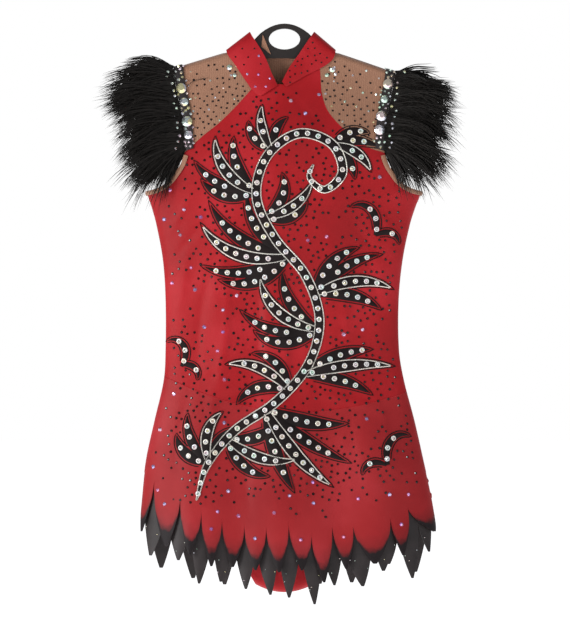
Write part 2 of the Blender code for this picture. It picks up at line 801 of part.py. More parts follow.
def collar_rib(ribs, place):
    """The seam end and the free end of the collar at a place along it, on its outer surface."""
    Place = namedtuple("Place", "run seam_x seam_z edge_x edge_z turn")
    rows = []
    for n, rib in enumerate(ribs):
        z = shoulder_z(rib.seam_x) if rib.seam_z is None else rib.seam_z
        rows.append(Place(n / (len(ribs) - 1), rib.seam_x, z, rib.edge_x, rib.edge_z, rib.turn))
    x, z, edge_x, edge_z, turn = (between(rows, place, "run", column) for column in Place._fields[1:])
    side = BACK if turn > 0 else FRONT
    z = min(z, shoulder_z(x))
    lift = LAYER_GAP + WALL
    seam = on_body(x, z, side) + outward_at(x, z, side) * (lift + COLLAR_RIDGE_LIFT * (1 - turn**2))
    depth = max(half_depth(edge_x, edge_z, BODY_SECTIONS), COLLAR_NEAREST) + lift
    return seam, Vector((edge_x, turn * depth, edge_z)), turn


def make_collar(name, ribs):
    """A standing collar piece that runs up the neckline, over the shoulder line and round the back."""
    outer = []
    for place in even(COLLAR_STEPS_ALONG):
        seam, edge, turn = collar_rib(ribs, place)
        line = [seam.lerp(edge, share) for share in even(COLLAR_STEPS_ACROSS)]
        for point, share in zip(line, even(COLLAR_STEPS_ACROSS)):
            point.y += turn * COLLAR_BULGE * 4 * share * (1 - share)
        outer.append(line)
    bm = bmesh.new()
    lay_grid(bm, outer)
    thicken(bm, lambda faces: sum(f.normal.y for f in faces if f.calc_center_median().y < -8) > 0, 0.0)
    return finish(bm, name, RED)


def make_collar_end():
    """The small mesh corner of the back collar beside the grip."""
    y = -HANGER_THICKNESS / 2 - COLLAR_END_GAP
    bm = bmesh.new()
    bm.faces.new([bm.verts.new((p.x, y, p.z)) for p in COLLAR_END_OUTLINE])
    bmesh.ops.subdivide_edges(bm, edges=bm.edges[:], cuts=1, use_grid_fill=True)
    grow(bm, lambda vert: vert.co - Vector((0, COLLAR_END_WALL, 0)))
    return finish(bm, "collar_end", NUDE)


def shell(x, q):
    """A point of the shoulders' outer surface: q runs over the shoulder line, below 0 in front of it."""
    return on_body(x, height_at(x, abs(q)), FRONT if q < 0 else BACK)


def armhole_place(hand, q):
    """The armhole's edge at q, the way into the cloth, and the way out of it."""
    Knot = namedtuple("Knot", "drop x")
    knots = []
    for p in ARMHOLE_ABOVE_SEAM:
        knots.append(Knot(0.0 if p.z is None else drop_to(hand * p.x, p.z), p.x))
    x = hand * between(knots, abs(q), "drop", "x")
    inward = (shell(x - hand, q) - shell(x, q)).normalized()
    along = (shell(x, q + 0.5) - shell(x, q - 0.5)).normalized()
    outward = inward.cross(along).normalized()
    if outward.dot(Vector((0, math.copysign(1.0, q) if abs(q) > 9 else 0, 1.0 if abs(q) <= 9 else 0))) < 0:
        outward.negate()
    return x, inward, outward


def strip_places(hand, half_rows, end, power):
    """Places from the front end of the armhole's strip, over the shoulder line, to its back end."""
    reach = drop_to(hand * SEAM_X, SEAM_Z) - end
    half = [reach * share**power for share in even(half_rows)]
    return [-q for q in half[:0:-1]] + half


def make_band(name, hand):
    """The black band along the armhole, with the large crystals raised in its outer points."""
    outer, inner = [], []
    for q in strip_places(hand, BAND_HALF_ROWS, BAND_END, 1.4):
        x, inward, outward = armhole_place(hand, q)
        over, under = [], []
        for share in even(BAND_COLUMNS):
            here = x - hand * (0.3 + BAND_WIDTH * share)
            foot = shell(here, q)
            rise = 0.0
            for stone in LARGE_STONES[hand] if q < 0 else ():
                away = math.hypot(BAND_WIDTH * (share - 0.5), foot.z - stone.z) / stone.radius
                rise = max(rise, STONE_HEIGHT * (1 - away**2))
            under.append(foot + outward * LAYER_GAP)
            over.append(foot + outward * (LAYER_GAP + WALL + rise))
        outer.append(over)
        inner.append(under)
    return finish(close_between(outer, inner), name, BLACK)


def underarm_outward(x, z, side, hand):
    """The outward direction of the body near the side seam."""
    left, right = side_x(LEFT, z), side_x(RIGHT, z)
    half = (right - left) / 2
    across = min(abs(x - (left + right) / 2) / half, 1.0)
    depth = between(BODY_SECTIONS, z, "z", "depth")
    level = 2 * math.sqrt(1 - across**SQUARENESS) / depth
    return Vector((hand * SQUARENESS * across ** (SQUARENESS - 1) / half, side * level, 0)).normalized()


def make_binding(name, hand):
    """The nude binding that runs under the arm from the front yoke to the back yoke."""
    places = [BINDING_START] + close_at_end(UNDERARM_COLUMNS)[1:]
    edge = underarm_edge(hand, places)
    ahead = underarm_edge(hand, [min(place + 0.01, 1.0) for place in places])
    behind = underarm_edge(hand, [place - 0.01 for place in places])
    outer, inner = [], []
    rows = [(n, FRONT) for n in range(len(edge))] + [(n, BACK) for n in range(len(edge) - 2, -1, -1)]
    for n, side in rows:
        run_x, run_z = ahead[n].x - behind[n].x, ahead[n].z - behind[n].z
        length = math.hypot(run_x, run_z)
        into_x, into_z = hand * run_z / length, -abs(run_x) / length
        if n == len(edge) - 1:
            into_x, into_z = 0.0, -1.0
        over, under = [], []
        for share in even(2):
            z = edge[n].z + into_z * (0.3 + BINDING_WIDTH * share)
            x = edge[n].x + into_x * (0.3 + BINDING_WIDTH * share)
            if abs(x) > abs(side_x(hand, z)) or n == len(edge) - 1:
                x = side_x(hand, z)
            foot = on_body(x, z, side)
            outward = underarm_outward(x, z, side, hand)
            under.append(foot + outward * BINDING_GAP)
            over.append(foot + outward * (BINDING_GAP + WALL))
        outer.append(over)
        inner.append(under)
    return finish(close_between(outer, inner), name, NUDE)


def lock_course(hand, q, column, reach):
    """The direction, droop and length of one lock of feather."""
    share = min(abs(q) / reach, 1.0)
    rows = FEATHER_LOCKS[hand]
    length = between(rows, share, "share", "length")
    down = between(rows, share, "share", "down")
    spread = between(rows, share, "share", "spread") * (BACK if q > 0 else FRONT)
    outward = armhole_place(hand, q)[2]
    fan = outward * LOCK_FAN * column
    course = (Vector((hand, spread, -down)) + fan).normalized()
    ragged = 1 + LOCK_RAGGED * math.sin(5.1 * q / reach * FEATHER_HALF_ROWS + 2.2 * column + hand)
    return course, length * ragged


def make_feathers(name, hand):
    """A narrow strip beside the armhole whose faces are drawn out into tapering locks."""
    reach = drop_to(hand * SEAM_X, SEAM_Z) - STRIP_END
    qs = strip_places(hand, FEATHER_HALF_ROWS, STRIP_END, 1.0)
    outer, inner = [], []
    for q in qs:
        x, inward, outward = armhole_place(hand, q)
        foot = shell(x, q)
        levels = [mix(-STRIP_IN, STRIP_OUT, share) for share in even(FEATHER_COLUMNS)]
        outer.append([foot + Vector((hand * (STRIP_GAP + STRIP_WALL), 0, 0)) + outward * n for n in levels])
        inner.append([foot + Vector((hand * STRIP_GAP, 0, 0)) + outward * n for n in levels])
    bm = close_between(outer, inner)
    bmesh.ops.recalc_face_normals(bm, faces=bm.faces)
    if bm.calc_volume(signed=True) < 0:
        bmesh.ops.reverse_faces(bm, faces=bm.faces)
    bm.faces.ensure_lookup_table()
    for row in range(len(qs) - 1):
        for column in range(FEATHER_COLUMNS):
            corners = (outer[row][column], outer[row][column + 1])
            corners += (outer[row + 1][column], outer[row + 1][column + 1])
            centre = sum(corners, Vector()) / 4
            face = min(bm.faces, key=lambda f: (f.calc_center_median() - centre).length)
            q = (qs[row] + qs[row + 1]) / 2
            draw_lock(bm, face, q, column, hand, reach)
    return finish(bm, name, BLACK, 0.9)


def draw_lock(bm, face, q, column, hand, reach):
    """Draws one face of the strip out into a lock."""
    course, length = lock_course(hand, q, column, reach)
    root = [(vert.co.copy()) for vert in face.verts]
    centre = sum(root, Vector()) / len(root)
    across = armhole_place(hand, q)[2]
    for segment in even(FEATHER_SEGMENTS)[1:]:
        face = bmesh.ops.extrude_discrete_faces(bm, faces=[face])["faces"][0]
        width = between(LOCK_SHAPE, segment, "share", "width")
        thickness = between(LOCK_SHAPE, segment, "share", "thickness")
        middle = centre + course * length * segment
        middle.z -= LOCK_DROOP * length * segment**2
        for vert, corner in zip(face.verts, root):
            offset = corner - centre
            thick = across * offset.dot(across)
            vert.co = middle + (offset - thick) * width + thick * thickness


def arm_top(x):
    """The upper line of the arms: clear of the neck, and up against the cloth towards their tips."""
    seated = ease((abs(x) - HANGER_SEAT_STARTS) / HANGER_SEAT_RISE)
    return shoulder_z(x) - mix(HANGER_NECK_DROP, HANGER_SEAT_DROP, seated)


def hanger_top(x):
    """The hanger's upper outline: the round grip, then the arms under the cloth."""
    beyond = max(abs(x) - GRIP_SHOULDER, 0.0)
    dome = GRIP_TOP_Z - GRIP_DOME * x**2 - GRIP_SHOULDER_DROP * beyond**2
    return max(dome, arm_top(x))


def hanger_bottom(x):
    """The hanger's lower outline."""
    return min(GRIP_BOTTOM_Z, arm_top(x) - HANGER_ARM_HEIGHT)


def make_hanger():
    """A flat moulded hanger with an oval grip hole whose top is the origin."""
    xs = [mix(-HANGER_ARM_HALF, HANGER_ARM_HALF, place) for place in even(HANGER_COLUMNS)]
    outline = [(x, hanger_top(x)) for x in xs] + [(x, hanger_bottom(x)) for x in reversed(xs)]
    turns = [2 * math.pi * n / HOLE_STEPS for n in range(HOLE_STEPS)]
    hole = [
        (GRIP_HOLE_HALF_WIDTH * math.sin(a), GRIP_HOLE_HALF_HEIGHT * (math.cos(a) - 1)) for a in turns
    ]
    bm = bmesh.new()
    edges = []
    for loop in (outline, hole):
        verts = [bm.verts.new((x, -HANGER_THICKNESS / 2, z)) for x, z in loop]
        edges += [bm.edges.new((a, b)) for a, b in zip(verts, verts[1:] + verts[:1])]
    bmesh.ops.triangle_fill(bm, use_beauty=True, use_dissolve=False, edges=edges, normal=(0, -1, 0))
    grow(bm, lambda vert: vert.co + Vector((0, HANGER_THICKNESS, 0)))
    return finish(bm, "hanger", CHARCOAL, 0.35)


def main():
    for obj in list(bpy.data.objects):
        bpy.data.objects.remove(obj)
    make_bodice_front()
    make_bodice_back()
    make_yoke_front(LEFT, "yoke_front_left", YOKE_SEAM_LEFT, NECK_EDGE_LEFT)
    make_yoke_front(RIGHT, "yoke_front_right", YOKE_SEAM_RIGHT, NECK_EDGE_RIGHT, YOKE_SEAM_RIGHT_POWER)
    make_yoke_back()
    make_skirt_layers()
    make_brief("brief_front", FRONT)
    make_brief("brief_back", BACK)
    make_collar("collar_left", COLLAR_LEFT)
    make_collar("collar_right", COLLAR_RIGHT)
    make_collar_end()
    for hand, word in ((LEFT, "left"), (RIGHT, "right")):
        make_band("armhole_band_" + word, hand)
        make_binding("underarm_binding_" + word, hand)
        make_feathers("feather_" + word, hand)
    make_hanger()


main()
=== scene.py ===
"""Looks for a rhythmic gymnastics leotard that hangs on a small moulded hanger.

The cloth, its trimmings and the hanger are built here in fine detail over the plain solids of the frame.
Lengths are in millimetres until a mesh is made. X runs across the garment, Y from front to back, and Z up.
The origin is the top of the hanger's grip hole.
"""

from __future__ import annotations

import logging
import math
from collections.abc import Iterable, Sequence
from dataclasses import astuple, dataclass, field
from enum import Enum

import bmesh
import bpy
import numpy as np
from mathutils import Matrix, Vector


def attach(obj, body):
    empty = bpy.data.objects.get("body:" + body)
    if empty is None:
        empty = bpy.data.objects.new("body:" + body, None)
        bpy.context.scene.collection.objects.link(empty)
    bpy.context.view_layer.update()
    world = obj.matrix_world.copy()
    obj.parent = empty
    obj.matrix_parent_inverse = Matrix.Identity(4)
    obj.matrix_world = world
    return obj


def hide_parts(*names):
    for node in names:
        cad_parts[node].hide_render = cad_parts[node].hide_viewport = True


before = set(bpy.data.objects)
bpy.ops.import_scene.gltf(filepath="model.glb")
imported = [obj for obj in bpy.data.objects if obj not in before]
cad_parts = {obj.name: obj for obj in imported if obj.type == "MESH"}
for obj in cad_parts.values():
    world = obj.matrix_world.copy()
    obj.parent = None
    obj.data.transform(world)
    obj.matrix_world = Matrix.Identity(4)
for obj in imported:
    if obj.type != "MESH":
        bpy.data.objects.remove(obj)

log = logging.getLogger("leotard")

Array = np.ndarray
Edge = np.ndarray
Colour = tuple[float, float, float]
Outline = tuple[tuple[float, float], ...]
Mesh = bmesh.types.BMesh
Material = bpy.types.Material
Piece = bpy.types.Object
Socket = bpy.types.NodeSocket
Node = bpy.types.Node
Tree = bpy.types.NodeTree

MM = 0.001
SEED = 41
# How many times finer the panels are cut than the plain solids
CUT = 3

# Cloth, seams, and what lies on the cloth
WALL = 1.2
SEAM_HALF_GAP = 0.25
LAYER_GAP = 0.6
LEVEL_WITHIN = 1.2
SHARP_ANGLE = 50.0
FOLD_STRENGTH = 1.7


class Choice(Enum):
    """One of two, whose word ends the names of pieces."""

    @property
    def word(self) -> str:
        """Its name in small letters."""
        return self.name.lower()


class Side(Choice):
    """Front or back of the garment, as the sign of Y."""

    FRONT = -1
    BACK = 1


class Hand(Choice):
    """Left or right as seen from the front, as the sign of X."""

    LEFT = -1
    RIGHT = 1


def ease(share: Array | float) -> Array | float:
    """A smooth step from 0 to 1."""
    share = np.clip(share, 0.0, 1.0)
    return share * share * (3 - 2 * share)


def even(steps: int) -> Array:
    """Shares from 0 to 1 in equal steps."""
    return np.linspace(0.0, 1.0, steps + 1)


def close_at_start(steps: int, power: float = 1.7) -> Array:
    """Shares from 0 to 1 that lie closer together at the start."""
    return even(steps) ** power


def close_at_end(steps: int, power: float = 1.6) -> Array:
    """Shares from 0 to 1 that lie closer together at the end."""
    return 1 - (1 - even(steps)) ** power


def sweep(start: float, end: float, share: Array) -> Array:
    """Shares of the width between two others, closer together towards the sides of the body."""
    return np.sin(math.asin(start) + (math.asin(end) - math.asin(start)) * share)


def mix(a: Array | float, b: Array | float, share: Array | float) -> Array | float:
    """The value a share of the way from a to b."""
    return a + (b - a) * share


def unit(v: Array) -> Array:
    """Vectors of length 1."""
    return v / np.maximum(np.linalg.norm(v, axis=-1, keepdims=True), 1e-9)


def runs_along(line: Array) -> Array:
    """How far along a line each of its points is."""
    return np.concatenate([[0.0], np.cumsum(np.linalg.norm(np.diff(line, axis=0), axis=-1))])


def places_along(line: Array, runs: Array, at: Array) -> Array:
    """The places on a line of x and z that lie so far along it."""
    return np.stack([np.interp(at, runs, line[:, k]) for k in (0, 1)], axis=-1)


def to_the_right(line: Array) -> Array:
    """The way to the right of a line of x and z, in the plane of the front."""
    ahead = unit(np.gradient(line, axis=0))
    return np.stack([ahead[:, 1], -ahead[:, 0]], axis=-1)


class Curve:
    """A smooth curve through the rows of a short table."""

    def __init__(self, places: Sequence[float], values: Sequence[float]) -> None:
        """Sorts the rows and works out the slope at each.

        Args:
            places: Where the rows are.
            values: The curve's value at each.
        """
        order = np.argsort(places)
        self.places = np.asarray(places, float)[order]
        self.values = np.asarray(values, float)[order]
        ahead = np.minimum(np.arange(len(order)) + 1, len(order) - 1)
        behind = np.maximum(np.arange(len(order)) - 1, 0)
        self.slopes = (self.values[ahead] - self.values[behind]) / (self.places[ahead] - self.places[behind])

    def __call__(self, place: Array | float) -> Array:
        """Reads the curve.

        Args:
            place: One place or many; past the ends the curve stays level.

        Returns:
            The value at each place.
        """
        place = np.clip(place, self.places[0], self.places[-1])
        i = np.clip(np.searchsorted(self.places, place, side="left") - 1, 0, len(self.places) - 2)
        width = self.places[i + 1] - self.places[i]
        t = (place - self.places[i]) / width
        low, high = self.values[i], self.values[i + 1]
        bend = self.slopes[i] * width * (t - 2 * t**2 + t**3) + self.slopes[i + 1] * width * (t**3 - t**2)
        return low + (high - low) * (3 * t**2 - 2 * t**3) + bend


@dataclass(frozen=True)
class Crease:
    """A long crease that hangs down the cloth, as in the solids."""

    x: float
    lean: float
    width: float
    depth: float
    top: float
    bottom: float

    def relief(self, x: Array, z: Array) -> Array:
        """What the crease adds to the depth of the cloth at x and z."""
        centre = self.x + self.lean * (self.top - z)
        fade = ease((self.top - z) / 70) * ease((z - self.bottom) / 40)
        return self.depth * fade * np.exp(-(((x - centre) / self.width) ** 2))


@dataclass(frozen=True)
class Fold:
    """A short soft ridge or trough: its middle, lean in degrees, half length, half width and height."""

    x: float
    z: float
    lean: float
    length: float
    width: float
    height: float

    def relief(self, x: Array, z: Array) -> Array:
        """What the fold adds to the depth of the cloth, along a line that bows a little.

        Args:
            x: Places across the garment.
            z: Their heights.

        Returns:
            The added depth at each place.
        """
        lean = math.radians(self.lean)
        along = (x - self.x) * math.sin(lean) + (z - self.z) * math.cos(lean)
        across = (x - self.x) * math.cos(lean) - (z - self.z) * math.sin(lean)
        across = across + 0.0016 * along**2 * np.sign(self.height)
        fade = np.exp(-((along / self.length) ** 2) - (across / self.width) ** 2)
        return FOLD_STRENGTH * self.height * fade


# The solids' creases come first, then the folds that only the fine cloth has
RELIEF: dict[Side, tuple[Crease | Fold, ...]] = {
    Side.FRONT: (
        Crease(-104, -0.02, 12, -1.6, -230, -430),
        Crease(-78, 0.03, 11, 1.8, -240, -430),
        Crease(-42, 0.02, 13, -2.4, -230, -460),
        Crease(-14, 0.0, 12, 1.6, -250, -460),
        Crease(16, -0.02, 12, -1.8, -260, -460),
        Crease(52, 0.02, 13, 1.6, -220, -440),
        Crease(88, 0.05, 12, -2.0, -200, -420),
        Crease(-96, -0.10, 22, 4.0, -420, -760),
        Crease(-48, -0.05, 20, -4.0, -420, -760),
        Crease(0, 0.0, 24, 4.0, -420, -760),
        Crease(52, 0.05, 20, -4.0, -420, -760),
        Crease(100, 0.10, 22, 4.0, -420, -760),
        Fold(-124, -222, 32, 26, 4.0, 0.9),
        Fold(-112, -246, 38, 34, 4.6, -0.9),
        Fold(-118, -300, 12, 40, 5.0, 0.8),
        Fold(-96, -330, 8, 60, 5.5, -1.0),
        Fold(-66, -345, 4, 70, 6.0, 1.0),
        Fold(-30, -352, -2, 60, 5.0, -0.9),
        Fold(2, -362, 0, 55, 5.0, 0.9),
        Fold(34, -356, 3, 58, 5.0, -0.9),
        Fold(70, -330, -6, 62, 5.5, 0.9),
        Fold(104, -300, -14, 46, 5.0, -0.9),
        Fold(118, -226, -34, 28, 4.4, 0.9),
        Fold(100, -250, -42, 34, 4.6, -0.8),
        Fold(-100, -398, 66, 40, 4.6, 0.8),
        Fold(-60, -421, 74, 34, 4.2, -0.8),
        Fold(84, -430, -72, 40, 4.4, 0.8),
        Fold(-120, -462, 10, 44, 5.0, -1.0),
        Fold(-84, -482, 6, 50, 5.5, 1.0),
        Fold(-44, -490, 2, 46, 5.0, -1.0),
        Fold(24, -492, -2, 50, 5.0, 1.0),
        Fold(78, -486, -6, 48, 5.4, -1.0),
        Fold(118, -470, -11, 44, 5.0, 0.9),
        Fold(-20, -110, 52, 26, 4.4, 0.7),
        Fold(26, -98, -46, 24, 4.4, -0.7),
        Fold(-60, -140, 40, 30, 5.0, -0.7),
    ),
    Side.BACK: (
        Crease(-80, 0.02, 16, -2.0, -200, -430),
        Crease(-20, 0.0, 18, 1.8, -180, -440),
        Crease(48, -0.02, 16, -2.0, -200, -430),
        Crease(-74, -0.08, 24, 4.0, -420, -760),
        Crease(-18, 0.0, 22, -4.0, -420, -760),
        Crease(40, 0.05, 24, 4.0, -420, -760),
        Crease(92, 0.08, 20, -3.0, -420, -760),
        Fold(-120, -230, 30, 30, 4.4, 0.9),
        Fold(-100, -262, 24, 38, 5.0, -0.9),
        Fold(-66, -330, 6, 70, 6.0, 1.0),
        Fold(-10, -350, 0, 66, 5.6, -1.0),
        Fold(42, -340, -4, 60, 5.4, 1.0),
        Fold(92, -290, -18, 44, 5.0, -0.9),
        Fold(118, -232, -32, 30, 4.4, 0.9),
        Fold(-60, -408, 76, 44, 4.6, 0.8),
        Fold(58, -414, -74, 40, 4.6, -0.8),
        Fold(-100, -480, 9, 48, 5.4, -1.0),
        Fold(-40, -492, 3, 50, 5.4, 1.0),
        Fold(30, -488, -3, 50, 5.4, -1.0),
        Fold(96, -478, -9, 46, 5.4, 1.0),
    ),
}


@dataclass(frozen=True)
class Section:
    """A level cut through the body: its height, its outline from the front, and half its depth."""

    z: float
    left: float
    right: float
    depth: float


BODY_SECTIONS = (
    Section(30, -158, 158, 22),
    Section(-187, -158, 157, 26),
    Section(-203, -153, 151, 26),
    Section(-225, -147, 144, 25.5),
    Section(-266, -139.5, 135.5, 24.5),
    Section(-312, -136.5, 131, 23),
    Section(-370, -136.5, 131.5, 22.5),
    Section(-404, -138.5, 137, 24.5),
    Section(-450, -149, 149, 30),
    Section(-496, -159, 159.5, 36),
    Section(-542, -164, 169.5, 41),
    Section(-580, -167, 175, 44),
    Section(-660, -170, 179, 47),
)
BRIEF_SECTIONS = (
    Section(-380, -136, 134.5, 21),
    Section(-404, -136.2, 134.6, 21.5),
    Section(-470, -138, 138, 22),
    Section(-560, -138, 138, 18),
    Section(-600, -138, 138, 15),
    Section(-660, -138, 138, 13),
)


def columns(rows: Sequence[object], across: str, *names: str) -> list[Curve]:
    """Smooth curves through the rows of a table."""
    places = [getattr(row, across) for row in rows]
    return [Curve(places, [getattr(row, name) for row in rows]) for name in names]


@dataclass
class Figure:
    """The outer surface that the cloth takes: sections of the body and skirt, hung over the hanger's arms."""

    squareness: float = 2.4
    top_radius: float = 7.0
    shoulder_to_chest: float = 110.0
    peak_z: float = -14.0
    slope: float = 0.34
    tilt: float = 0.02
    neck_round: float = 30.0

    def __post_init__(self) -> None:
        """Draws the curves through the sections."""
        self.left, self.right, self.depth = columns(BODY_SECTIONS, "z", "left", "right", "depth")

    def shoulder(self, x: Array | float) -> Array:
        """The height of the top of the shoulder above x."""
        aside = np.hypot(x, self.neck_round) - self.neck_round
        return self.peak_z - self.slope * aside - self.tilt * np.asarray(x)

    def drop(self, x: Array, z: Array) -> Array:
        """How far down the cloth points lie, over the round top of the shoulder.

        Args:
            x: Places across the garment.
            z: Their heights.

        Returns:
            The way down the cloth to each.
        """
        fall, r = self.shoulder(x) - z, self.top_radius
        arc = r * np.arccos(np.clip(1 - np.maximum(fall, 0) / r, -1, 1))
        return np.where(fall < r, arc, fall + r * (math.pi / 2 - 1))

    def height(self, x: Array, drop: Array) -> Array:
        """The heights of points that lie so far down the cloth.

        Args:
            x: Places across the garment.
            drop: How far down from the top of the shoulder each lies.

        Returns:
            The height of each.
        """
        r = self.top_radius
        round_part = self.shoulder(x) - r * (1 - np.cos(np.minimum(drop / r, math.pi / 2)))
        return np.where(drop < r * math.pi / 2, round_part, self.shoulder(x) - drop + r * (math.pi / 2 - 1))

    def relief(self, x: Array, z: Array, side: Side) -> Array:
        """What creases and folds add to the depth.

        Args:
            x: Places across the garment.
            z: Their heights.
            side: Front or back.

        Returns:
            The added depth at each place.
        """
        total = np.zeros(np.broadcast(x, z).shape)
        for form in RELIEF[side]:
            total = total + form.relief(x, z)
        return total

    def rounded(self, x: Array, z: Array, full: Array) -> Array:
        """Half a depth, drawn in to the round top of the shoulder.

        Args:
            x: Places across the garment.
            z: Their heights.
            full: Half the depth there would be below the chest.

        Returns:
            Half the depth at each place.
        """
        fall, r = self.shoulder(x) - z, self.top_radius
        over = np.sqrt(np.maximum(r**2 - (r - np.clip(fall, 0, r)) ** 2, 0.0))
        return np.where(fall < r, over, r + (full - r) * ease((fall - r) / self.shoulder_to_chest))

    def half_depth(self, x: Array, z: Array, side: Side) -> Array:
        """How far the cloth stands from the middle plane.

        Args:
            x: Places across the garment.
            z: Their heights.
            side: Front or back.

        Returns:
            Half the depth at each place.
        """
        left, right = self.left(z), self.right(z)
        across = np.minimum(np.abs(2 * x - left - right) / (right - left), 1.0)
        full = self.depth(z) * np.sqrt(1 - across**self.squareness)
        return self.rounded(x, z, full + self.relief(x, z, side) * (1 - across**4))

    def point(self, x: Array, z: Array, side: Side) -> Array:
        """Points of the body's outer surface, as rows of X, Y, Z."""
        x, z = np.broadcast_arrays(np.asarray(x, float), np.asarray(z, float))
        return np.stack([x, side.value * self.half_depth(x, z, side), z], axis=-1)

    def normal(self, x: Array, z: Array, side: Side, reach: float = 0.8) -> Array:
        """The outward directions at points of the surface.

        Args:
            x: Places across the garment.
            z: Their heights.
            side: Front or back.
            reach: How far to each side the slope is read.

        Returns:
            A vector of length 1 for each place.
        """
        x, z = np.broadcast_arrays(np.asarray(x, float), np.asarray(z, float))
        by_x = self.point(x + reach, z, side) - self.point(x - reach, z, side)
        by_z = self.point(x, z + reach, side) - self.point(x, z - reach, side)
        out = np.cross(by_x, by_z)
        out *= side.value * np.sign(out[..., 1:2] + 1e-12)
        return out / np.linalg.norm(out, axis=-1, keepdims=True)

    def side_x(self, hand: Hand, z: Array | float) -> Array:
        """Where the side seam lies at a height."""
        return self.left(z) if hand is Hand.LEFT else self.right(z)

    def at_across(self, across: Array, z: Array) -> Array:
        """The x that lies at a share of the width, from -1 to 1."""
        return self.left(z) + (self.right(z) - self.left(z)) * (across + 1) / 2

    def skirt_point(self, across: Array, z: Array, side: Side, step: Array | float) -> Array:
        """Points of the skirt.

        Args:
            across: Shares of its width, from -1 to 1.
            z: Their heights.
            side: Front or back.
            step: How far inside the outer surface they lie.

        Returns:
            The points, as rows of X, Y, Z.
        """
        across = np.clip(across, -1.0, 1.0)
        left, right = self.left(z) + step, self.right(z) - step
        x = left + (right - left) * (across + 1) / 2
        depth = (self.depth(z) - step) * np.sqrt(1 - np.abs(across) ** self.squareness)
        depth = depth + self.relief(x, z, side) * (1 - across**4)
        return np.stack([x, side.value * np.maximum(depth, SEAM_HALF_GAP), z], axis=-1)


FIGURE = Figure()

# Edges of the pieces, as x and z. A height left open lies on the shoulder line.
ON_SHOULDER = math.nan
ARM_X = 128.0
SEAM_X, SEAM_Z, UNDERARM_Z = 114.5, -144.0, -187.0
ARMHOLE = ((ARM_X, ON_SHOULDER), (124, -70), (119, -94), (115.5, -120), (SEAM_X, SEAM_Z))
UNDERARM = ((0.0, SEAM_Z), (0.08, -155), (0.18, -162.5), (0.40, -175), (0.68, -183), (1.0, UNDERARM_Z))
YOKE_SEAM = {
    Hand.LEFT: ((-SEAM_X, SEAM_Z), (-92, -124), (-74, -109.5), (-54.5, -90), (-35, -68)),
    Hand.RIGHT: ((SEAM_X, SEAM_Z), (96, -138), (71, -120), (50, -97), (42.5, -76), (41, -57), (40, -43)),
}
YOKE_SEAM_POWER = {Hand.LEFT: 1.0, Hand.RIGHT: 1.4}
NECK_EDGE = {
    Hand.LEFT: ((-65, ON_SHOULDER), (-47.5, -48.5), (-35, -68)),
    Hand.RIGHT: ((57, ON_SHOULDER), (50, -36.5), (40, -43)),
}
FRONT_NECKLINE = ((-35, -68), (-27, -73.5), (-8, -64.5), (0, -64.5), (24, -51), (40, -43))
BACK_NECKLINE = ((-65, ON_SHOULDER), (-48, -33), (-20, -31), (10, -31), (40, -34), (57, ON_SHOULDER))
BACK_YOKE_SEAM = ((-SEAM_X, SEAM_Z), (-70, -152), (0, -156), (70, -152), (SEAM_X, SEAM_Z))
SKIRT_SEAM_Z, SKIRT_SEAM_TILT = -400.0, 18.0
SKIRT_SEAM_DIP = {Side.FRONT: 30.0, Side.BACK: 8.0}


def sampled(points: Iterable[Sequence[float]], places: Array) -> Edge:
    """Points of a smooth line through a few others.

    Args:
        points: The few, as x and z.
        places: Shares of the line's length.

    Returns:
        The point at each share.
    """
    knots = np.array(list(points), float)
    open_heights = np.isnan(knots[:, 1])
    knots[open_heights, 1] = FIGURE.shoulder(knots[open_heights, 0])
    runs = runs_along(knots)
    at = runs[-1] * np.asarray(places)
    return np.stack([Curve(runs, knots[:, 0])(at), Curve(runs, knots[:, 1])(at)], axis=-1)


def handed(points: Iterable[Sequence[float]], hand: Hand) -> list[tuple[float, float]]:
    """An edge given for the right side, on the side wanted."""
    return [(hand.value * x, z) for x, z in points]


def underarm_edge(hand: Hand, places: Array) -> Edge:
    """The armhole's edge from the yoke seam down to the side seam, at shares of its length."""
    reach = abs(float(FIGURE.side_x(hand, UNDERARM_Z))) - SEAM_X
    return sampled(handed([(SEAM_X + reach * share, z) for share, z in UNDERARM], hand), places)


def shoulder_line(start: float, end: float, steps: int) -> Edge:
    """Points on top of the shoulder between two x."""
    x = start + (end - start) * even(steps)
    return np.stack([x, FIGURE.shoulder(x)], axis=-1)


def seam_z(across: Array | float, side: Side) -> Array:
    """The height of the skirt seam at a share of the width, from -1 to 1."""
    share = (np.asarray(across, float) + 1) / 2
    return SKIRT_SEAM_Z - SKIRT_SEAM_TILT * share - SKIRT_SEAM_DIP[side] * np.sin(math.pi * share)


def coons(top: Edge, bottom: Edge, left: Edge, right: Edge) -> Array:
    """A net of points between four edges that meet at their ends, spaced along the cloth.

    Args:
        top: The upper edge, from left to right.
        bottom: The lower edge, with as many points.
        left: The left edge, from top to bottom.
        right: The right edge, with as many points as the left.

    Returns:
        Rows of points, each an x and z.
    """
    top, bottom, left, right = (
        np.stack([e[:, 0], FIGURE.drop(e[:, 0], e[:, 1])], axis=-1) for e in (top, bottom, left, right)
    )
    falls = left[:, 1] + right[:, 1]
    v = ((falls - falls[0]) / (falls[-1] - falls[0]))[:, None, None]
    u = even(len(top) - 1)[None, :, None]
    corners = (top[0] * (1 - u) + top[-1] * u) * (1 - v) + (bottom[0] * (1 - u) + bottom[-1] * u) * v
    net = top[None] * (1 - v) + bottom[None] * v + left[:, None] * (1 - u) + right[:, None] * u - corners
    return np.stack([net[..., 0], FIGURE.height(net[..., 0], net[..., 1])], axis=-1)


